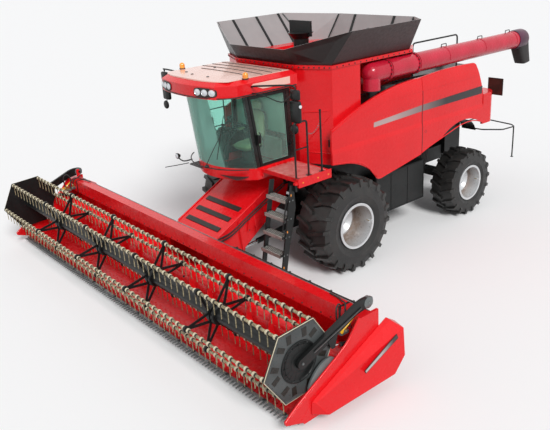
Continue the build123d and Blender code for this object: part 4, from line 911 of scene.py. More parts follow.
for side, turned in sideTurns:
    addPiece(f"seam_seal_{side}", turned(seal), "black_rubber", f"panel_rear_{side}")
    addPiece(f"panel_latch_{side}", turned(latch), "black_paint", f"panel_rear_{side}")
print("side panels dressed")

# Grain tank: pressed ribs and rim bolts on its walls, and bars on its extension
tankLow, tankHigh = box("grain_tank")
corner = dict(turnX=0.885, slant=0.4675)
rimBolts = dict(radius=0.010, z=3.865)


# The front wall's slanted corners fall back by `slant` for each metre outwards, from `turnX`.
def cornerY(x, front):
    return front + corner["slant"] * np.clip(np.asarray(x, float) - corner["turnX"], 0, None)


# Pressed rib: a bar that thins at its ends, run between two places of the slanted corner.
def pressedRib(start, end, radius=0.012):
    x, z = (np.linspace(a, b, 14) for a, b in zip(start, end))
    swell = radius * np.sin(np.pi * np.linspace(0.02, 0.98, 14)) ** 0.4
    return tubePart(np.column_stack([x, cornerY(x, tankLow[1] + 0.024), z]), swell, 8, side=(0, 1, 0))


ribEnds = (((0.96, 2.42), (1.46, 3.02)), ((0.96, 3.04), (1.46, 3.10)), ((0.96, 2.30), (1.46, 2.30)))
ribs = joinParts(*[pressedRib(start, end) for start, end in ribEnds])
addPiece("tank_front_ribs", bothSides(ribs), "red_paint", "machine", flat=60)

# Rim bolts: along the flat front, round the slanted corner at its own angle, and down the sides.
points, faces = boltPart(rimBolts["radius"], "y", -1)
frontBolts = copies((points, faces), [(x, tankLow[1], rimBolts["z"]) for x in np.linspace(-0.82, 0.82, 13)])
cornerPlaces = [(x, cornerY(x, tankLow[1]), rimBolts["z"]) for x in np.linspace(0.95, 1.48, 7)]
cornerBolts = copies((points @ turnMatrix(math.atan(corner["slant"]), "z"), faces), cornerPlaces)
addPiece("tank_rim_bolts", joinParts(frontBolts, bothSides(cornerBolts)), "dark_steel", "machine")
sidePlaces = [(tankHigh[0], y, rimBolts["z"]) for y in np.linspace(-0.05, 1.92, 14)]
addPiece("tank_side_bolts", bothSides(copies(boltPart(rimBolts["radius"]), sidePlaces)), "dark_steel", "machine")


# Extension bar: a flat bar laid on a flared wall from its foot to its rim; `into` looks square off the wall.
def wallBar(foot, head, across, into, wide=0.050, deep=0.020):
    across, into = np.array(across, float) * wide / 2, np.array(into, float)
    section = np.array([across - into * 0.003, -across - into * 0.003, into * deep - across, across + into * deep])
    return gridPart(np.array([foot, head], float)[:, None] + section, closeJ=True, caps=True)


sideWays, rearWays = ((0, 1, 0), (0.790, 0, 0.613)), ((1, 0, 0), (0, -0.894, 0.448))
wallBars = [wallBar((-1.471, y, 3.900), (-1.930, y - 0.03, 4.492), *sideWays) for y in (0.35, 0.98, 1.60)]
rearBars = joinParts(*[wallBar((x, 2.366, 3.900), (x, 2.622, 4.412), *rearWays) for x in (-0.55, 0.55)])
# Each fold of the extension has a round bar from its foot to its rim.
folds = [((1.140, 2.352, 3.92), (1.050, 2.606, 4.41)), ((1.462, 1.935, 3.92), (1.918, 1.705, 4.485)),
         ((1.455, -0.130, 3.92), (1.915, -0.078, 4.485))]
foldBars = joinParts(*[tubePart([a, np.add(a, b) / 2, b], 0.016, 6, (0, 1, 0)) for a, b in folds])
bars = joinParts(bothSides(mirrorPart(joinParts(*wallBars))), rearBars, bothSides(foldBars))
addPiece("extension_bars", bars, "black_paint", "machine", flat=40)
print("tank dressed")

# Unloading tube: bolts round its flanges, straps and hooks on top, the end collar and the chute
tube = dict(x=1.440, z=3.600, radius=0.190, flanges=(1.272, 2.092), straps=(3.10, 4.35, 5.55))
turn = np.arange(16) * np.pi / 8 + 0.1
ring = np.stack([tube["x"] + 0.203 * np.cos(turn), np.zeros(16), tube["z"] + 0.203 * np.sin(turn)], -1)
bolts = joinParts(*[copies(boltPart(0.010, "y", -1), ring + np.array([0, y, 0])) for y in tube["flanges"]])
addPiece("tube_flange_bolts", bolts, "dark_steel", "unload_auger")


# Strap: a half ring laid round the tube from one ear to the other.
def strap(y, radius, thick, wide, start=-0.3, stop=np.pi + 0.3):
    angle = np.linspace(start, stop, 22)
    rows = []
    for r, dy in ((radius, -wide / 2), (radius + thick, -wide / 2), (radius + thick, wide / 2), (radius, wide / 2)):
        rows.append(np.stack([tube["x"] + r * np.cos(angle), np.full(22, y + dy), tube["z"] + r * np.sin(angle)], -1))
    return gridPart(np.stack(rows, 1), closeJ=True, caps=True)


straps = joinParts(*[strap(y, tube["radius"] + 0.001, 0.006, 0.05) for y in tube["straps"]])
addPiece("tube_straps", straps, "tube_paint", "unload_auger", flat=60)
hookPath = roundedPath([(tube["x"], y, z) for y, z in ((3.02, 3.79), (3.02, 3.845), (3.18, 3.845), (3.18, 3.79))], 0.02)
hook = tubePart(hookPath, 0.009, 8, (1, 0, 0))
hooks = copies(hook, [(0, dy, 0) for dy in (-1.35, 0, 1.25, 2.3)])
addPiece("tube_hooks", hooks, "black_paint", "unload_auger", flat=60)
collar = lathePart([(5.640, 0.191), (5.640, 0.204), (5.700, 0.214), (5.940, 0.214), (5.985, 0.204),
                    (5.985, 0.170), (5.80, 0.160)],
                   (tube["x"], 0, tube["z"]), "y", 40)
addPiece("tube_end_collar", collar, "purple_collar", "unload_auger")


# Chute: rings of a rounded square slide down and back from the collar, and the wall comes back up inside.
def chutePart():
    levels = np.linspace(0, 1, 9)
    angle = np.linspace(0, 2 * np.pi, 28, endpoint=False)
    square = np.stack([np.cos(angle), np.sin(angle)], -1)
    square /= np.maximum(np.abs(square).max(1, keepdims=True), 0.001) ** 0.75
    rings = []
    for inset, order in ((0.0, levels), (0.012, levels[::-1])):
        for s in order:
            half, deep = 0.150 - 0.012 * s - inset, 0.225 - 0.085 * s - inset
            y, x = square[:, 1] * deep, square[:, 0] * half
            middleY, middleZ, tilt = 5.905 + 0.165 * s + 0.03 * s**2, 3.545 - 0.50 * s, 0.14 * s
            rings.append(np.stack([tube["x"] + x, middleY + y, middleZ + y * tilt], -1))
    return gridPart(np.stack(rings), closeI=True, closeJ=True)


chute = addPiece("unload_chute", chutePart(), "black_rubber", "unload_auger", flat=50)
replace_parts(chute, "unload_spout")
print("unloading tube dressed")

# Top of the machine behind the tank: rails, exhaust, intake screen, hoses, cases and a trough
deckTop = 3.240
sideRail = roundedPath([(1.08, 2.56, deckTop), (1.08, 2.56, 3.90), (1.08, 4.05, 3.90), (1.08, 4.05, deckTop)], 0.08)
lowRail = np.array([(1.08, 2.56, 3.58), (1.08, 3.3, 3.58), (1.08, 4.05, 3.58)])
rails = joinParts(tubePart(sideRail, 0.017, 8, (1, 0, 0)), tubePart(lowRail, 0.013, 8))
addPiece("deck_rails", bothSides(rails), "black_paint", "machine", flat=60)
stacks = joinParts(
    lathePart([(deckTop - 0.01, 0.16), (deckTop + 0.03, 0.16), (deckTop + 0.03, 0.095), (3.46, 0.09),
               (3.50, 0.10), (3.52, 0.10), (3.52, 0.075), (3.36, 0.07)], (0.56, 4.14, 0), "z", 28),
    lathePart([(deckTop - 0.01, 0.20), (3.42, 0.20), (3.47, 0.17), (3.48, 0.0)], (-0.60, 4.06, 0), "z", 32))
addPiece("deck_stacks", stacks, "black_paint", "machine")
fins = [platePart((-0.60, 4.06, z), 0.215, 0.215, 0.008, 0.1, "z", 0.002, 6) for z in np.linspace(3.27, 3.41, 6)]
addPiece("intake_screen_fins", joinParts(*fins), "dark_steel", "machine")
# Deck hoses: x at the front and at the rear, and the y and z where each starts.
hoseTable = [(1.23, 1.24, 1.25, 3.22), (1.29, 1.27, 1.3, 3.19), (1.35, 1.32, 1.2, 3.16), (1.41, 1.42, 1.4, 3.12)]
run = []
for n, (x0, x1, y0, z0) in enumerate(hoseTable):
    path = smoothPath([(x0, y0, z0 - 0.10), (x0, y0 + 0.35, z0 + 0.03),
                       ((x0 + x1) / 2, 2.1, z0 + 0.05), (x1, 2.9, z0 + 0.02), (x1, 3.9, z0 - 0.06)], 8)
    run.append(tubePart(path, 0.016 + 0.004 * (n % 2), 8))
addPiece("deck_hoses", joinParts(*run), "black_rubber", "machine", flat=60)
# Deck cases: middle, half width, half length, height, corner and rim.
caseTable = [((1.34, 1.48, 3.16), 0.10, 0.15, 0.22, 0.03, 0.012), ((1.34, 2.05, 3.15), 0.12, 0.22, 0.20, 0.03, 0.012),
             ((1.36, 2.62, 3.17), 0.09, 0.16, 0.16, 0.03, 0.010), ((1.33, 3.35, 3.17), 0.12, 0.30, 0.12, 0.04, 0.010)]
cases = joinParts(*[platePart(*size, "z", rim) for *size, rim in caseTable])
addPiece("deck_cases", bothSides(cases), "cab_plastic", "machine")
trough = prismPart([(1.195, 3.05), (1.53, 3.05), (1.53, 3.075), (1.210, 3.075), (1.210, 3.23), (1.195, 3.23)],
                   1.15, 4.1, "y")
addPiece("deck_trough", bothSides(trough), "black_paint", "machine")
print("deck dressed")

# Rear: blank board on its bracket, loops round the spreader, lamps on the hood
boardPart = joinParts(platePart((1.48, 4.995, 2.66), 0.19, 0.19, 0.014, 0.015, "y", 0.002),
                      tubePart([(1.30, 4.60, 2.55), (1.31, 4.80, 2.55), (1.33, 4.985, 2.56)], 0.020, 8))
addPiece("rear_board", boardPart, "board_brown", "machine")
boardCorners = [(1.295, 4.986, 2.475), (1.665, 4.986, 2.475), (1.665, 4.986, 2.845), (1.295, 4.986, 2.845)]
boardEdge = tubePart(boardCorners, 0.006, 6, (0, 1, 0), closed=True)
addPiece("rear_board_edge", boardEdge, "dark_steel", "machine")
loop = [(0.66, 4.96, 1.60), (0.68, 5.02, 1.60), (1.16, 5.045, 1.60), (1.53, 5.315, 1.60),
        (1.58, 5.72, 1.60), (1.435, 5.84, 1.60), (0.50, 5.96, 1.60), (0.42, 5.88, 1.60), (0.42, 4.96, 1.60)]
leg = tubePart(np.array([(1.575, 5.71, 1.60), (1.572, 5.722, 1.2), (1.565, 5.73, 0.86)]), 0.016, 8, (1, 0, 0))
foot = platePart((1.565, 5.73, 0.855), 0.03, 0.03, 0.01, 0.01, "z", 0.002)
loops = joinParts(tubePart(roundedPath(loop, 0.05), 0.016, 8), leg, foot)
addPiece("spreader_loops", bothSides(loops), "black_paint", "machine", flat=60)
lampRing = lathePart([(0, 0.055), (0.018, 0.055), (0.022, 0.050), (0.022, 0.044)], (0, 0, 0), "y", 24)
lampFace = lathePart([(0.010, 0.046), (0.020, 0.044), (0.026, 0.030), (0.028, 0.0)], (0, 0, 0), "y", 24)
spots = [(s * x, 4.900, 2.30) for s in (-1, 1) for x in (0.86, 1.00)]
addPiece("tail_lamp_rings", copies(lampRing, spots), "black_paint", "machine")
addPiece("tail_lamp_lenses", copies(lampFace, spots), "amber_lens", "machine")
print("rear dressed")

# Lower shields: seams, a frame strip, bolts, a round reflector, and hoses behind them
shieldX, shieldLow, shieldHigh = 1.330, 0.64, 1.46
seam = prismPart([(-0.006, shieldLow), (0.006, shieldLow), (0.006, shieldHigh), (-0.006, shieldHigh)],
                 shieldX, shieldX + 0.008, "x")
seams = copies(seam, [(0, y, 0) for y in (1.62, 2.14)])
frameCorners = [(shieldX, 1.17, shieldLow), (shieldX, 2.66, shieldLow), (shieldX, 2.66, shieldHigh),
                (shieldX, 1.17, shieldHigh)]
frameStrip = tubePart(frameCorners, 0.010, 6, (1, 0, 0), closed=True)
addPiece("shield_seams", bothSides(joinParts(seams, frameStrip)), "black_paint", "machine")
grid = np.array([(shieldX, y, z) for y in (1.22, 1.57, 1.68, 2.08, 2.20, 2.60) for z in (0.70, 1.05, 1.40)])
addPiece("shield_bolts_low", bothSides(copies(boltPart(0.009), grid)), "dark_steel", "machine")
reflector = lathePart([(0, 0.042), (0.010, 0.042), (0.014, 0.036), (0.015, 0.0)], (shieldX, 1.34, 0.76), "x", 24)
addPiece("shield_reflectors", bothSides(reflector), "amber_lens", "machine")
hoses = []
for n in range(5):
    y = 2.715 + 0.050 * n
    path = smoothPath([(1.12, y, 2.02), (1.18, y + 0.02, 1.86), (1.20, y + 0.04, 1.60), (1.16, y + 0.05, 1.34),
                       (1.09, y + 0.06, 1.20)], 6)
    hoses.append(tubePart(path, 0.014 + 0.003 * (n % 2), 8, (0, 1, 0)))
addPiece("side_hoses", bothSides(joinParts(*hoses)), "black_rubber", "machine", flat=60)

# Chopper's side hoods: a thin sheet bent over an arc that is flatter than a circle.
hood = []
angle = np.linspace(-0.35, 1.35, 18)
for r, x in ((0.60, 1.06), (0.60, 0.69), (0.585, 0.69), (0.585, 1.06)):
    hood.append(np.stack([np.full(18, x), 4.35 + r * np.sin(angle), 1.50 + r * np.cos(angle) * 0.75], -1))
addPiece("chopper_side_hoods", bothSides(gridPart(np.stack(hood, 1), closeJ=True, caps=True)),
         "black_paint", "machine", flat=40)
print("lower body dressed")


# Platform, rails and ladder
deck = dict(high=2.190, out=1.880, front=-1.400, rear=-0.620)
feetAt = ((1.80, -1.37), (1.80, -1.08), (1.828, -0.79))
(railX, railFront), (railX, railRear), (postX, postY) = feetAt
rail = roundedPath([(railX, railFront, deck["high"]), (railX, railFront, 3.16), (railX, railRear, 3.16),
                    (railX, railRear, deck["high"])], 0.06, 7)
post = [(postX, postY, z) for z in (deck["high"], 2.7, 3.27)]
middleBar = [(railX, y, 2.70) for y in (railFront, -1.2, railRear)]
knob = lathePart([(3.262, 0.014), (3.272, 0.022), (3.290, 0.020), (3.298, 0.0)], (postX, postY, 0), "z", 16)
railParts = joinParts(tubePart(rail, 0.017, 10, (1, 0, 0)), tubePart(post, 0.017, 10, (1, 0, 0)),
                      tubePart(middleBar, 0.013, 8), knob)
railPiece = addPiece("platform_rails", railParts, "black_paint", "machine", flat=60)
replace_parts(railPiece, "handrails")
feet = [platePart((x, y, 2.196), 0.038, 0.038, 0.012, 0.008, "z", 0.002) for x, y in feetAt]
boltPlaces = [(x + a, y + b, 2.202) for x, y in feetAt for a in (-0.027, 0.027) for b in (-0.027, 0.027)]
addPiece("rail_feet", joinParts(*feet, copies(boltPart(0.006, "z", 1), boltPlaces)), "dark_steel", "machine")


# Chain: links turned a quarter each along a hanging curve between two rail posts.
def chainPart(start, end, sag, count, radius=0.012, wire=0.0028):
    share = np.linspace(0, 1, count)
    places = np.outer(1 - share, start) + np.outer(share, end)
    places[:, 2] -= sag * 4 * share * (1 - share)
    turn = np.linspace(0, 2 * np.pi, 9, endpoint=False)
    flat = np.stack([np.zeros(9), 1.5 * radius * np.cos(turn), 0.8 * radius * np.sin(turn)], -1)
    link = tubePart(flat, wire, 5, (1, 0, 0), closed=True)
    standing = tubePart(flat[:, [2, 1, 0]], wire, 5, (0, 0, 1), closed=True)
    return joinParts(copies(link, places[::2]), copies(standing, places[1::2]))


addPiece("platform_chain", chainPart((railX, railRear, 2.95), (postX, postY, 3.10), 0.10, 13), "grey_steel", "machine")


# Studs: rows of small round knobs, each row moved by half a step from the last.
def studs(x0, x1, y0, y1, z, step=0.045):
    xs, ys = np.arange(x0, x1, step), np.arange(y0, y1, step)
    gx, gy = np.meshgrid(xs, ys, indexing="ij")
    gx = gx + (np.arange(len(ys)) % 2) * step / 2
    stud = lathePart([(0, 0.012), (0.004, 0.009), (0.005, 0.0)], (0, 0, 0), "z", 6)
    return copies(stud, np.stack([gx.ravel(), gy.ravel(), np.full(gx.size, z)], -1))


addPiece("platform_studs", studs(0.96, 1.84, -1.36, -0.66, deck["high"]), "tread_pale", "machine")
kickTop = deck["high"] + 0.025
skirt = joinParts(prismPart([(deck["front"], 2.05), (deck["rear"], 2.05), (deck["rear"], kickTop),
                             (deck["front"], kickTop)],
                            deck["out"], deck["out"] + 0.010, "x"),
                  prismPart([(1.00, deck["high"]), (deck["out"], deck["high"]),
                             (deck["out"], kickTop), (1.00, kickTop)],
                            deck["front"] - 0.004, deck["front"] + 0.004, "y"))
addPiece("platform_kick_edge", skirt, "red_paint", "machine", bevel=0.002)
clips = copies(platePart((0, 0, 0), 0.014, 0.010, 0.008, 0.003, "x", 0.001),
               [(1.893, y, 2.13) for y in (-1.30, -0.95, -0.70)])
addPiece("platform_markers", clips, "amber_lens", "machine")


# Ladder's lean: y goes forward by 0.320 over its height of 1.620.
def leanOf(z):
    return -1.460 - (2.100 - z) * 0.320 / 1.620


treadZ = (0.560, 0.880, 1.200, 1.520, 1.840)
lips, pads = [], []
for z in treadZ:
    y = leanOf(z)
    lip = [(y - 0.112, z - 0.040), (y - 0.104, z - 0.040), (y - 0.104, z + 0.024), (y - 0.112, z + 0.024)]
    lips.append(prismPart(lip, 1.262, 1.778, "x"))
    pads.append(studs(1.285, 1.765, y - 0.09, y + 0.05, z + 0.018, 0.040))
addPiece("ladder_lips", joinParts(*lips), "tread_pale", "ladder", bevel=0.002)
addPiece("ladder_studs", joinParts(*pads), "tread_pale", "ladder")
plateOutline = [(leanOf(2.10) - 0.05, 2.06), (leanOf(2.10) + 0.02, 2.06), (leanOf(1.70) + 0.12, 1.70),
                (leanOf(0.90) + 0.075, 0.90), (leanOf(0.50) + 0.07, 0.49), (leanOf(0.50) - 0.06, 0.49)]
addPiece("ladder_side_plate", prismPart(plateOutline, 1.792, 1.806, "x"), "black_paint", "ladder", bevel=0.003)
grip = roundedPath([(1.812, leanOf(1.30) - 0.05, 1.30), (1.840, leanOf(1.30) - 0.16, 1.34),
                    (1.840, leanOf(1.95) - 0.16, 1.90), (1.812, leanOf(1.95) - 0.05, 1.96)], 0.04)
addPiece("ladder_grip", tubePart(grip, 0.012, 8, (1, 0, 0)), "black_paint", "ladder", flat=60)
stepBolts = [(1.808, leanOf(z) + dy, z) for z in treadZ for dy in (-0.045, 0.030)]
addPiece("ladder_bolts", copies(boltPart(0.009), stepBolts), "grey_steel", "ladder")
marker = platePart((0, 0, 0), 0.010, 0.020, 0.006, 0.003, "x", 0.001)
markers = copies(marker, [(1.810, leanOf(z) - 0.005, z + 0.10) for z in treadZ[::2]])
addPiece("ladder_markers", markers, "amber_lens", "ladder")
print("access dressed")


# Cab
# Frame: the sill is red and everything above it is dark.
def cabFrameLook():
    tree, shader, place, colours = plainLook("cab_frame_paint", **finishes["red_paint"])
    height = parts3(tree, place)[2]
    dark = mixColour(tree, noise(tree, place, 5), (0.010, 0.011, 0.011), (0.016, 0.017, 0.016))
    tree.links.new(mixColour(tree, math2(tree, "GREATER_THAN", height, 2.232), colours, dark),
                   shader.inputs["Base Color"])


cabFrameLook()
for slot in nodes["cab_frame"].material_slots:
    slot.material = looks["cab_frame_paint"]

# Roof: a crowned sheet inside the crease, in a pale pink that is painted highlight on the red roof, with dark ribs
# across its rear half and four fixing points.
roof = dict(top=3.858, crown=0.018, half=0.93, back=-0.66, lampZ=3.692)


# Crown: the sheet rises towards its middle line, and from its back edge as the root of the distance over the first 0.5.
def roofPoint(x, y):
    return roof["top"] + roof["crown"] * (1 - x**2) * np.clip((roof["back"] - y) / 0.5, 0, 1) ** 0.5


# The sheet's front follows the brow: its y falls to the nose as a half ellipse of x.
def roofSheet():
    xs = np.linspace(-roof["half"], roof["half"], 41)
    front = -1.86 - 0.36 * np.sqrt(np.clip(1 - (np.abs(xs) / 0.98) ** 2.6, 0, 1))
    share = np.linspace(0, 1, 19)
    y = roof["back"] * (1 - share[None]) + front[:, None] * share[None]
    x = np.broadcast_to(xs[:, None], y.shape)
    z = roofPoint(x, y)
    top = np.stack([x, y, z], -1)
    under = np.stack([x, y, np.full_like(z, roof["top"] - 0.006)], -1)[:, ::-1]
    return gridPart(np.concatenate([top, under], 1), closeJ=True, caps=True)


addPiece("roof_top_sheet", roofSheet(), "pale_panel", "machine", flat=35)


# Cross rib: a thin tube laid on the sheet from side to side.
def crossRib(y, half):
    xs = np.linspace(-half, half, 21)
    return tubePart(np.column_stack([xs, np.full(21, y), roofPoint(xs, y) + 0.002]), 0.0075, 6)


ribTable = ((-0.80, 0.88), (-1.02, 0.89), (-1.24, 0.90), (-1.46, 0.62))
addPiece("roof_ribs", joinParts(*[crossRib(y, half) for y, half in ribTable]), "clip_dark", "machine", flat=60)
pins = [(x, y, float(roofPoint(x, y))) for x, y in ((-0.52, -1.86), (-0.20, -1.95), (0.28, -1.95), (-0.42, -1.30))]
pin = lathePart([(0, 0.026), (0.010, 0.022), (0.013, 0.0)], (0, 0, 0), "z", 14)
addPiece("roof_pins", copies(pin, pins), "cab_plastic", "machine")


# Brow: its y is read off a table of x. Dark lamp pockets, oval lenses and bright rims lie on it.
def browY(x):
    return np.interp(x, [0, 0.35, 0.46, 0.64, 0.83, 0.86], [-2.330, -2.3083, -2.2928, -2.2574, -2.1959, -2.180]) - 0.003


# Pocket: rings of a rounded rectangle step in and out; each lies on the brow.
def pocket():
    turn = np.linspace(0, 2 * np.pi, 40, endpoint=False)
    u = np.sign(np.cos(turn)) * np.abs(np.cos(turn)) ** 0.45
    v = np.sign(np.sin(turn)) * np.abs(np.sin(turn)) ** 0.6
    rings = []
    for size, out in ((1.0, 0.004), (1.0, -0.008), (0.95, -0.012), (0.92, -0.004), (0.55, -0.003), (0.0, -0.003)):
        x = 0.606 + 0.246 * u * size
        z = roof["lampZ"] + 0.078 * v * size
        rings.append(np.stack([x, browY(x) + out, z], -1))
    return gridPart(np.stack(rings), closeJ=True, caps=True)


addPiece("brow_pockets", bothSides(pocket()), "clip_dark", "machine", flat=40)


# Lens: a crowned oval that faces square to the brow where it sits.
def oval(x, profile, turns=24):
    slope = math.atan2(float(browY(x + 0.01) - browY(x - 0.01)), 0.02)
    points, faces = lathePart(profile, (0, 0, 0), "y", turns)
    points = points * np.array([1.15, 1, 0.92]) @ turnMatrix(slope, "z")
    return points + np.array([x, float(browY(x)) - 0.010, roof["lampZ"]]), faces


lampX = (0.450, 0.610, 0.765)
rims = joinParts(*[oval(x, [(0.006, 0.061), (-0.006, 0.061), (-0.009, 0.057), (-0.002, 0.053)]) for x in lampX])
lenses = joinParts(*[oval(x, [(0.004, 0.054), (-0.004, 0.053), (-0.011, 0.036), (-0.014, 0.0)]) for x in lampX])
addPiece("brow_lamp_rims", bothSides(rims), "pale_bezel", "machine")
addPiece("brow_lamp_lenses", bothSides(lenses), "lens_white", "machine")
collar = lathePart([(0, 0.057), (0.014, 0.057), (0.018, 0.052), (0.018, 0.040)], (0, 0, 0), "z", 24)
addPiece("beacon_collars", copies(collar, [(s * 0.965, -1.66, 3.857) for s in (-1, 1)]), "black_rubber", "machine")
# Side wings in the same pale pink: painted highlight.
wing = prismPart([(-1.60, 3.745), (-1.36, 3.655), (-0.74, 3.640), (-0.74, 3.768), (-1.56, 3.768)], 1.0385, 1.0445, "x")
addPiece("roof_side_wings", bothSides(wing), "pale_panel", "machine", bevel=0.003)
gutter = tubePart(smoothPath([(1.045, -0.60, 3.60), (1.045, -1.2, 3.60), (1.045, -1.85, 3.60),
                              (0.99, -2.06, 3.60), (0.80, -2.20, 3.60), (0.40, -2.305, 3.60), (0.0, -2.332, 3.60)], 6),
                              0.010, 6)
addPiece("roof_gutters", bothSides(gutter), "black_rubber", "machine", flat=60)
print("roof dressed")

# Mirrors: bent arms from the roof, two housings each with rounded edges, a wide-angle bowl and a small lamp
# How far out they are, where each side's is along the machine, and where the arms leave the roof.
mirrorSet = dict(x=1.80, left=-1.305, right=-1.560, root=-1.60, tallZ=3.345, smallZ=3.625, bowlZ=3.06)


# Mirror: the arm and its stay go back from the root by a share of the way to the mirror's own y.
def mirrorParts(y):
    x, root, tallZ, smallZ, bowlZ = (mirrorSet[key] for key in ("x", "root", "tallZ", "smallZ", "bowlZ"))
    back = y - root
    arm = smoothPath([(0.98, root, 3.71), (1.13, root, 3.745), (1.42, root + 0.3 * back, 3.77), (1.72, y - 0.05, 3.78),
                      (x, y, 3.75), (x, y, 3.66)], 6)
    stay = smoothPath([(1.02, root, 3.62), (1.28, root + 0.15 * back, 3.60), (1.58, root + 0.6 * back, 3.50),
                       (1.72, y - 0.03, 3.60), (1.79, y, 3.68)], 5)
    small = platePart((x, y, smallZ), 0.105, 0.085, 0.062, 0.030, "y", 0.014)
    tall = platePart((x, y, tallZ), 0.115, 0.185, 0.066, 0.034, "y", 0.014)
    spine = tubePart([(x, y, 3.62), (x, y, 3.50), (x, y, 3.40)], 0.018, 8, (1, 0, 0))
    arms = joinParts(tubePart(arm, 0.016, 8), tubePart(stay, 0.010, 8), small, tall, spine)
    bowl = lathePart([(0.0, 0.080), (-0.012, 0.085), (-0.030, 0.078), (-0.042, 0.055), (-0.046, 0.0)],
                     (x, y - 0.03, bowlZ), "y", 28)
    bowlArm = tubePart([(x, y - 0.01, 3.20), (x, y - 0.02, 3.13), (x, y - 0.03, bowlZ)], 0.009, 6, (1, 0, 0))
    faces = joinParts(platePart((x, y + 0.034, tallZ), 0.098, 0.165, 0.006, 0.026, "y", 0.002),
                      platePart((x, y + 0.032, smallZ), 0.088, 0.068, 0.006, 0.024, "y", 0.002))
    lamp = lathePart([(0, 0.030), (0.012, 0.028), (0.018, 0.015), (0.020, 0.0)], (1.914, y, 3.44), "x", 18)
    return arms, joinParts(bowl, bowlArm), faces, lamp


mirrorSides = [[turned(part) for part in mirrorParts(mirrorSet[side])] for side, turned in sideTurns]
arms, bowls, faces, lamps = (joinParts(*pair) for pair in zip(*mirrorSides))
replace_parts(addPiece("mirror_arms", arms, "black_paint", "machine", flat=50), "mirrors")
addPiece("wide_mirrors", bowls, "black_paint", "machine", flat=50)
addPiece("mirror_faces", faces, "chrome_rod", "machine")
addPiece("mirror_lamps", lamps, "lens_white", "machine")
print("mirrors made")


# Cab outside: seals, wiper, guard bars, door handle and a work lamp on a bracket under the sill
# Windscreen: a circle through both pillars and the bulge, whose sizes drift with height; its y is found at x.
def screenY(x, z):
    bulge = np.interp(z, [2.23, 3.58], [-2.08, -1.90])
    pillar = np.interp(z, [2.23, 3.58], [-1.64, -1.49])
    half = np.interp(z, [2.23, 3.58], [0.888, 0.83])
    radius = ((bulge - pillar) ** 2 + half**2) / (2 * np.abs(bulge - pillar))
    return bulge + radius - np.sqrt(radius**2 - np.asarray(x) ** 2)


# Points on the screen, a little way off it.
def onScreen(x, z, out=0.006):
    x, z = np.asarray(x, float), np.asarray(z, float)
    return np.column_stack([x, screenY(x, z) - out, z])


share = np.linspace(0, 1, 25)
lowSeal = onScreen(np.linspace(-0.875, 0.875, 33), np.full(33, 2.243))
topSeal = onScreen(np.linspace(-0.82, 0.82, 33), np.full(33, 3.565))
addPiece("screen_seals", joinParts(tubePart(lowSeal, 0.011, 6), tubePart(topSeal, 0.011, 6)),
         "black_rubber", "machine", flat=60)
blade = onScreen(0.40 + 0.10 * share, 2.42 + 0.78 * share, 0.022)
armPath = onScreen(np.linspace(0.16, 0.45, 15), np.linspace(2.262, 2.82, 15), 0.034)
knob = lathePart([(0.02, 0.030), (-0.03, 0.030), (-0.045, 0.020), (-0.048, 0.0)],
                 (0.16, float(screenY(0.16, 2.262)), 2.262), "y", 16)
addPiece("screen_wiper", joinParts(tubePart(blade, 0.008, 6), tubePart(armPath, 0.007, 6), knob),
         "black_rubber", "machine", flat=60)
barPath = roundedPath([(-0.885, -1.50, 0), (-0.955, -1.50, 0), (-0.955, -0.74, 0), (-0.885, -0.74, 0)], 0.04)
bars = [copies(tubePart(barPath, 0.011, 8), (0, 0, z)) for z in (3.30, 2.98, 2.62)]
stand = tubePart(np.array([(-0.955, -0.80, 2.30), (-0.955, -0.80, 2.9), (-0.955, -0.80, 3.46)]), 0.012, 8, (1, 0, 0))
addPiece("far_guard_bars", joinParts(*bars, stand), "black_paint", "machine", flat=60)
handlePath = roundedPath([(0.925, -1.42, 2.62), (0.958, -1.42, 2.64), (0.958, -1.42, 2.86), (0.925, -1.42, 2.88)], 0.02)
handle = tubePart(handlePath, 0.010, 8, (0, 1, 0))
pull = platePart((0.925, -1.42, 2.75), 0.030, 0.075, 0.012, 0.018, "x", 0.004)
addPiece("door_pull", joinParts(handle, pull), "black_paint", "cab_door", flat=60)
post = tubePart(smoothPath([(0.86, -1.72, 2.12), (0.95, -1.86, 2.10), (1.02, -1.93, 2.16)], 6), 0.013, 8)
lampCase = lathePart([(0.0, 0.030), (-0.03, 0.052), (-0.065, 0.058), (-0.070, 0.052)], (1.02, -1.90, 2.21), "y", 20)
lampEye = lathePart([(-0.060, 0.052), (-0.072, 0.050), (-0.078, 0.030), (-0.080, 0.0)], (1.02, -1.90, 2.21), "y", 20)
stick = tubePart(np.array([(0.88, -1.80, 2.06), (1.02, -1.98, 2.03), (1.18, -2.16, 2.00)]), 0.008, 6)
addPiece("sill_lamp_brackets", mirrorPart(joinParts(post, lampCase, stick)), "black_paint", "machine", flat=50)
addPiece("sill_lamp_lenses", mirrorPart(lampEye), "lens_white", "machine")
print("cab outside dressed")

# Cab inside: floor mat, console, column and wheel, monitor, levers and the padded seat
inside = dict(wheel=(0.0, -1.395, 2.785), wheelRadius=0.190, tilt=1.02)


# Wheel: a ring turned back by `tilt` about the cab's width, three spokes and a hub.
def steeringWheel():
    turn = np.linspace(0, 2 * np.pi, 32, endpoint=False)
    r = inside["wheelRadius"]
    ring = np.stack([r * np.cos(turn), r * np.sin(turn), np.zeros(32)], -1)
    parts = [tubePart(ring, 0.014, 8, closed=True)]
    for a in (np.pi / 2, -np.pi / 6, -5 * np.pi / 6):
        way = np.array([math.cos(a), math.sin(a), 0])
        sink = np.outer(np.linspace(1, 0, 5), (0, 0, 0.02))
        parts.append(tubePart(np.outer(np.linspace(0.02, r, 5), way) - sink, 0.011, 6))
    parts.append(lathePart([(-0.05, 0.030), (-0.01, 0.048), (0.008, 0.045), (0.014, 0.0)], (0, 0, 0), "z", 20))
    points, faces = joinParts(*parts)
    return points @ turnMatrix(inside["tilt"]) + np.array(inside["wheel"]), faces


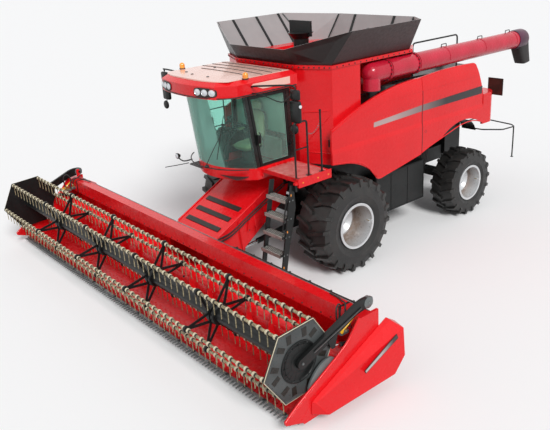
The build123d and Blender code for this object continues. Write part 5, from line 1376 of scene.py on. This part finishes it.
columnPath = smoothPath([(0, -1.70, 2.08), (0, -1.66, 2.40), (0, -1.52, 2.66), (0, -1.42, 2.76)], 6)
column = tubePart(columnPath, [0.085] * 7 + [0.06] * 6 + [0.04] * 6, 12, (1, 0, 0))
addPiece("steering_wheel", steeringWheel(), "cab_plastic", "machine", flat=60)
addPiece("steering_column", column, "cab_plastic", "machine", flat=60)
console = prismPart([(-1.36, 2.075), (-0.86, 2.075), (-0.84, 2.56), (-0.98, 2.66), (-1.30, 2.70), (-1.38, 2.62)],
                    -0.50, -0.31, "x")
monitor = joinParts(platePart((-0.46, -1.50, 2.90), 0.120, 0.085, 0.032, 0.02, "y", 0.008),
                    tubePart([(-0.42, -1.36, 2.64), (-0.44, -1.44, 2.78), (-0.46, -1.49, 2.86)], 0.012, 8))
addPiece("side_console", joinParts(console, monitor), "cab_plastic", "machine", bevel=0.012)
leverPath = smoothPath([(-0.40, -1.22, 2.67), (-0.40, -1.25, 2.74), (-0.385, -1.27, 2.80)], 5)
lever = joinParts(tubePart(leverPath, [0.010] * 5 + [0.024] * 6, 10, (1, 0, 0)),
                  tubePart([(-0.44, -1.08, 2.66), (-0.44, -1.10, 2.71), (-0.44, -1.11, 2.74)], 0.008, 6, (1, 0, 0)))
addPiece("console_levers", lever, "clip_dark", "machine", flat=60)
mat = platePart((0, -1.25, 2.075), 0.78, 0.62, 0.012, 0.05, "z", 0.004)
pedals = joinParts(*[platePart((x, -1.72, 2.22), 0.045, 0.075, 0.016, 0.012, "y", 0.004) for x in (0.16, 0.28, -0.18)])
addPiece("cab_mat", joinParts(mat, pedals), "black_rubber", "machine")
backShelf = platePart((0, -0.66, 2.33), 0.62, 0.22, 0.05, 0.05, "y", 0.012)
lining = platePart((0, -1.30, 3.555), 0.78, 0.60, 0.03, 0.06, "z", 0.01)
addPiece("cab_linings", joinParts(backShelf, lining), "lining_grey", "machine")


# Pad: a box whose faces are crowned by a falling power of the distance from its middle, before the cloth swells it.
def padPart(centre, half, crown, corner=5, count=26):
    turn = np.linspace(0, 2 * np.pi, count * 2, endpoint=False)
    rise = np.linspace(-np.pi / 2, np.pi / 2, count)
    cosine, sine = np.cos(turn), np.sin(turn)
    e = 2 / corner
    around = np.stack([np.sign(cosine) * np.abs(cosine) ** e, np.sign(sine) * np.abs(sine) ** e], -1)
    shrink = np.cos(rise) ** e
    up = np.sign(np.sin(rise)) * np.abs(np.sin(rise)) ** (2 / crown)
    x, y = around[None, :, 0] * shrink[:, None] * half[0], around[None, :, 1] * shrink[:, None] * half[1]
    z = np.broadcast_to(up[:, None] * half[2], x.shape)
    return gridPart(np.stack([x, y, z], -1) + np.array(centre), closeJ=True, caps=True)


padSet = dict(voxel=0.007, pressure=4.0, frames=20, cap=0.014)


# The pad is tipped about its pivot, remeshed evenly, inflated as cloth and softened.
def makePad(name, part, tip=0.0, pivot=(0, 0, 0)):
    points, faces = part
    points = (points - np.array(pivot)) @ turnMatrix(tip) + np.array(pivot)
    piece = addPiece(name, (points, faces), "seat_cloth", "machine", flat=80)
    remesh = piece.modifiers.new("even", "REMESH")
    remesh.mode, remesh.voxel_size = "VOXEL", padSet["voxel"]
    bakeShape(piece)
    swell(piece)
    smooth = piece.modifiers.new("soften", "SMOOTH")
    smooth.factor, smooth.iterations = 0.5, 4
    bakeShape(piece)
    piece.data.shade_smooth()
    return piece


# The modifiers' result becomes the piece's own mesh.
def bakeShape(piece):
    graph = bpy.context.evaluated_depsgraph_get()
    mesh = bpy.data.meshes.new_from_object(piece.evaluated_get(graph), preserve_all_data_layers=True, depsgraph=graph)
    piece.modifiers.clear()
    piece.data = mesh


def readPoints(mesh):
    values = np.empty(len(mesh.vertices) * 3, np.float32)
    mesh.vertices.foreach_get("co", values)
    return values.reshape(-1, 3)


# Swell: cloth under pressure, without gravity, for a few frames; each point's move is cut to the cap.
def swell(piece):
    before = readPoints(piece.data)
    cloth = piece.modifiers.new("cloth", "CLOTH")
    cloth.settings.use_pressure, cloth.settings.uniform_pressure_force = True, padSet["pressure"]
    cloth.settings.quality = 4
    cloth.settings.effector_weights.gravity = 0
    scene = bpy.context.scene
    for step in range(1, padSet["frames"] + 1):
        scene.frame_set(step)
    bakeShape(piece)
    scene.frame_set(1)
    move = readPoints(piece.data) - before
    length = np.linalg.norm(move, axis=1, keepdims=True)
    move *= np.minimum(1, padSet["cap"] / np.maximum(length, 1e-9))
    piece.data.vertices.foreach_set("co", (before + move).astype(np.float32).ravel())
    piece.data.update()


cushion = makePad("seat_cushion", padPart((0, -0.98, 2.395), (0.235, 0.235, 0.055), 2.6), 0.06, (0, -0.98, 2.395))


# Upright pad: a lying pad stood on end, then leant back about its middle.
def uprightPad(name, centre, half, lean):
    points, faces = padPart((0, 0, 0), (half[0], half[2], half[1]), 2.6)
    points = points[:, [0, 2, 1]] * np.array([1, -1, 1])
    return makePad(name, (points + np.array(centre), faces), lean, centre)


uprightPad("seat_back", (0, -0.735, 2.76), (0.215, 0.050, 0.275), -0.08)
uprightPad("seat_headrest", (0, -0.705, 3.12), (0.120, 0.040, 0.075), -0.04)
for side, s in (("left", 1), ("right", -1)):
    makePad(f"seat_arm_{side}", padPart((s * 0.285, -0.98, 2.655), (0.030, 0.155, 0.025), 2.6, 5, 16))
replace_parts(cushion, "driver_seat")
pedestal = lathePart([(2.075, 0.20), (2.09, 0.20), (2.10, 0.15), (2.29, 0.15), (2.32, 0.21), (2.33, 0.21)],
                     (0, -0.96, 0), "z", 28)
armStay = tubePart(smoothPath([(0.25, -0.80, 2.34), (0.285, -0.83, 2.50), (0.285, -0.90, 2.62)], 5), 0.014, 8)
headStay = tubePart([(0.06, -0.715, 2.98), (0.06, -0.71, 3.05), (0.06, -0.705, 3.10)], 0.007, 6)
backPlate = platePart((0, -0.665, 2.74), 0.20, 0.27, 0.018, 0.07, "y", 0.006)
stand = joinParts(pedestal, bothSides(armStay), bothSides(headStay), backPlate)
addPiece("seat_stand", stand, "cab_plastic", "machine", flat=50)


# Seams: a piping cord runs round each pad a little outside its edge, following the pad's rounded square.
def piping(centre, halfU, halfV, flatAxis, radius=0.0055, corner=5):
    turn = np.linspace(0, 2 * np.pi, 60, endpoint=False)
    u = np.sign(np.cos(turn)) * np.abs(np.cos(turn)) ** (2 / corner) * halfU
    v = np.sign(np.sin(turn)) * np.abs(np.sin(turn)) ** (2 / corner) * halfV
    w = np.zeros(60)
    path = np.stack({"z": (u, v, w), "y": (u, w, v)}[flatAxis], -1)
    return tubePart(path + np.array(centre), radius, 6, side={"z": (0, 0, 1), "y": (0, 1, 0)}[flatAxis], closed=True)


welts = joinParts(piping((0, -0.98, 2.400), 0.240, 0.240, "z"), piping((0, -0.735, 2.76), 0.220, 0.280, "y"))
addPiece("seat_welts", welts, "seat_trim", "machine", flat=60)
print("cab inside made")


# Wheels: nuts on the disc, a capped hub with its bolts, rim edges in a brighter silver that paints their highlight, a
# valve and moulded rings on the tyre
# `disc` and `hub` are their faces' x, `wall` the tyre's side wall as (radius, x), and `rings` how far outside the rim.
wheelFit = dict(
    front=dict(disc=1.410, hub=1.500, nuts=10, circle=0.160, hubCircle=0.075, rings=(0.040, 0.075),
               wall=[(0.40, 1.86), (0.43, 1.8774), (0.5, 1.8998), (0.6, 1.9284)]),
    rear=dict(disc=1.415, hub=1.505, nuts=8, circle=0.125, hubCircle=0.052, rings=(0.030, 0.060),
              wall=[(0.37, 1.7119), (0.40, 1.7267), (0.43, 1.7415), (0.5, 1.762)]))
for end, fit in wheelFit.items():
    low, high = box(f"rim_{end}_left")
    middle, outer, edge = (low + high) / 2, (high[1] - low[1]) / 2, high[0]
    cy, cz = middle[1:]
    axle, disc, hub, circle = (0, cy, cz), fit["disc"], fit["hub"], fit["circle"]
    nuts = joinParts(copies(boltPart(0.015), placesRound(disc, cy, cz, circle, fit["nuts"])),
                     copies(boltPart(0.009), placesRound(hub, cy, cz, fit["hubCircle"], 6, 0.3)))
    cap = lathePart([(hub - 0.002, 0.045), (hub + 0.022, 0.044), (hub + 0.034, 0.030), (hub + 0.036, 0.0)],
                    axle, "x", 28)
    clamp = lathePart([(disc - 0.001, circle + 0.034), (disc + 0.006, circle + 0.034), (disc + 0.008, circle - 0.028),
                       (disc - 0.001, circle - 0.030)], axle, "x", 40, ring=True)
    bead = lathePart([(edge - 0.020, outer - 0.024), (edge - 0.004, outer - 0.018), (edge + 0.004, outer - 0.006),
                      (edge + 0.002, outer + 0.003), (edge - 0.012, outer + 0.005), (edge - 0.022, outer - 0.004)],
                     axle, "x", 72, ring=True)
    valvePath = [(edge - back, cy + outer - drop, cz) for back, drop in ((0.10, 0.088), (0.06, 0.095), (0.03, 0.100))]
    valve = tubePart(valvePath, 0.007, 6)
    rings = []
    for r in outer + np.array(fit["rings"]):
        x = np.interp(r, *np.transpose(fit["wall"]))
        section = [(x - 0.004, r - 0.006), (x + 0.003, r - 0.003), (x + 0.003, r + 0.003), (x - 0.002, r + 0.006)]
        rings.append(lathePart(section, axle, "x", 64, ring=True))
    for side, turned in sideTurns:
        body = f"wheel_{end}_{side}"
        addPiece(f"wheel_nuts_{end}_{side}", turned(nuts), "dark_steel", body)
        addPiece(f"hub_cap_{end}_{side}", turned(joinParts(cap, clamp)), "rim_edge", body, flat=40)
        addPiece(f"rim_bead_{end}_{side}", turned(bead), "rim_edge", body, flat=50)
        addPiece(f"tyre_valve_{end}_{side}", turned(valve), "brass", body, flat=60)
        addPiece(f"tyre_rings_{end}_{side}", turned(joinParts(*rings)), f"tyre_{end}", body, flat=50)
print("wheels dressed")


# Camera, light and floor

# Camera: where it stands from the front axle, how it is turned (degrees), and its lens (mm on a 36 mm sensor).
cameraSet = dict(place=(10.1233, -8.6107, 5.9080), yaw=51.065, pitch=21.507, roll=-3.684, lens=44.67)


# The camera looks along yaw and pitch, then rolls about its own line of sight.
def makeCamera():
    data = bpy.data.cameras.new("view_camera")
    camera = bpy.data.objects.new("view_camera", data)
    bpy.context.scene.collection.objects.link(camera)
    yaw, pitch, roll = (math.radians(cameraSet[key]) for key in ("yaw", "pitch", "roll"))
    ahead = Vector((-math.sin(yaw) * math.cos(pitch), math.cos(yaw) * math.cos(pitch), -math.sin(pitch)))
    right = ahead.cross(Vector((0, 0, 1))).normalized()
    up = right.cross(ahead)
    rightRolled = right * math.cos(roll) + up * math.sin(roll)
    upRolled = up * math.cos(roll) - right * math.sin(roll)
    turn = Matrix((rightRolled, upRolled, -ahead)).transposed().to_4x4()
    camera.matrix_world = Matrix.Translation(Vector(at(cameraSet["place"]))) @ turn
    data.lens, data.sensor_width, data.clip_end = cameraSet["lens"], 36, 900
    bpy.context.scene.camera = camera


# Studio: a white world, seen as it is by the camera and in gloss and softer as light, and two wide lamps far away.
lightSet = dict(world=0.44, key=((0.78, -0.28, 0.66), 2.55, 20), fill=((-0.4, -0.9, 0.5), 0.30, 60))
floorSet = dict(size=300, pale=(0.955, 0.955, 0.955), bounce=(0.42, 0.42, 0.42))


# One where a ray comes from the camera, a glossy surface or through glass.
def seenDirectly(tree):
    path = tree.nodes.new("ShaderNodeLightPath")
    share = path.outputs["Is Camera Ray"]
    for ray in ("Is Glossy Ray", "Is Transmission Ray"):
        add = tree.nodes.new("ShaderNodeMath")
        add.operation, add.use_clamp = "ADD", True
        tree.links.new(share, add.inputs[0])
        tree.links.new(path.outputs[ray], add.inputs[1])
        share = add.outputs[0]
    return share


def makeLights():
    world = bpy.data.worlds.new("studio")
    bpy.context.scene.world = world
    world.use_nodes = True
    tree = world.node_tree
    tree.nodes.clear()
    out = tree.nodes.new("ShaderNodeOutputWorld")
    seen, light = (tree.nodes.new("ShaderNodeBackground") for n in range(2))
    seen.inputs[0].default_value = (1, 1, 1, 1)
    light.inputs[0].default_value = (0.97, 0.98, 1, 1)
    seen.inputs[1].default_value, light.inputs[1].default_value = 1.0, lightSet["world"]
    mix = tree.nodes.new("ShaderNodeMixShader")
    tree.links.new(seenDirectly(tree), mix.inputs[0])
    tree.links.new(light.outputs[0], mix.inputs[1])
    tree.links.new(seen.outputs[0], mix.inputs[2])
    tree.links.new(mix.outputs[0], out.inputs[0])
    for name in ("key", "fill"):
        towards, power, spread = lightSet[name]
        data = bpy.data.lights.new(name, "SUN")
        data.energy, data.angle = power, math.radians(spread)
        lamp = bpy.data.objects.new(name, data)
        lamp.rotation_euler = Vector(towards).to_track_quat("Z", "Y").to_euler()
        bpy.context.scene.collection.objects.link(lamp)


# Floor: pale where it is seen and darker to the light that it throws back, so the object's underside stays dark.
def makeFloor():
    size = floorSet["size"]
    mesh = bpy.data.meshes.new("floor")
    mesh.from_pydata([(-size, -size, 0), (size, -size, 0), (size, size, 0), (-size, size, 0)], [], [(0, 1, 2, 3)])
    floor = bpy.data.objects.new("floor", mesh)
    bpy.context.scene.collection.objects.link(floor)
    tree, shader, place = startLook("floor_white")
    tree.links.new(mixColour(tree, seenDirectly(tree), floorSet["bounce"], floorSet["pale"]),
                   shader.inputs["Base Color"])
    shader.inputs["Roughness"].default_value = 0.9
    shader.inputs["Specular IOR Level"].default_value = 0.0
    mesh.materials.append(looks["floor_white"])


makeCamera()
makeLights()
makeFloor()
bpy.context.scene.view_settings.view_transform = "Standard"
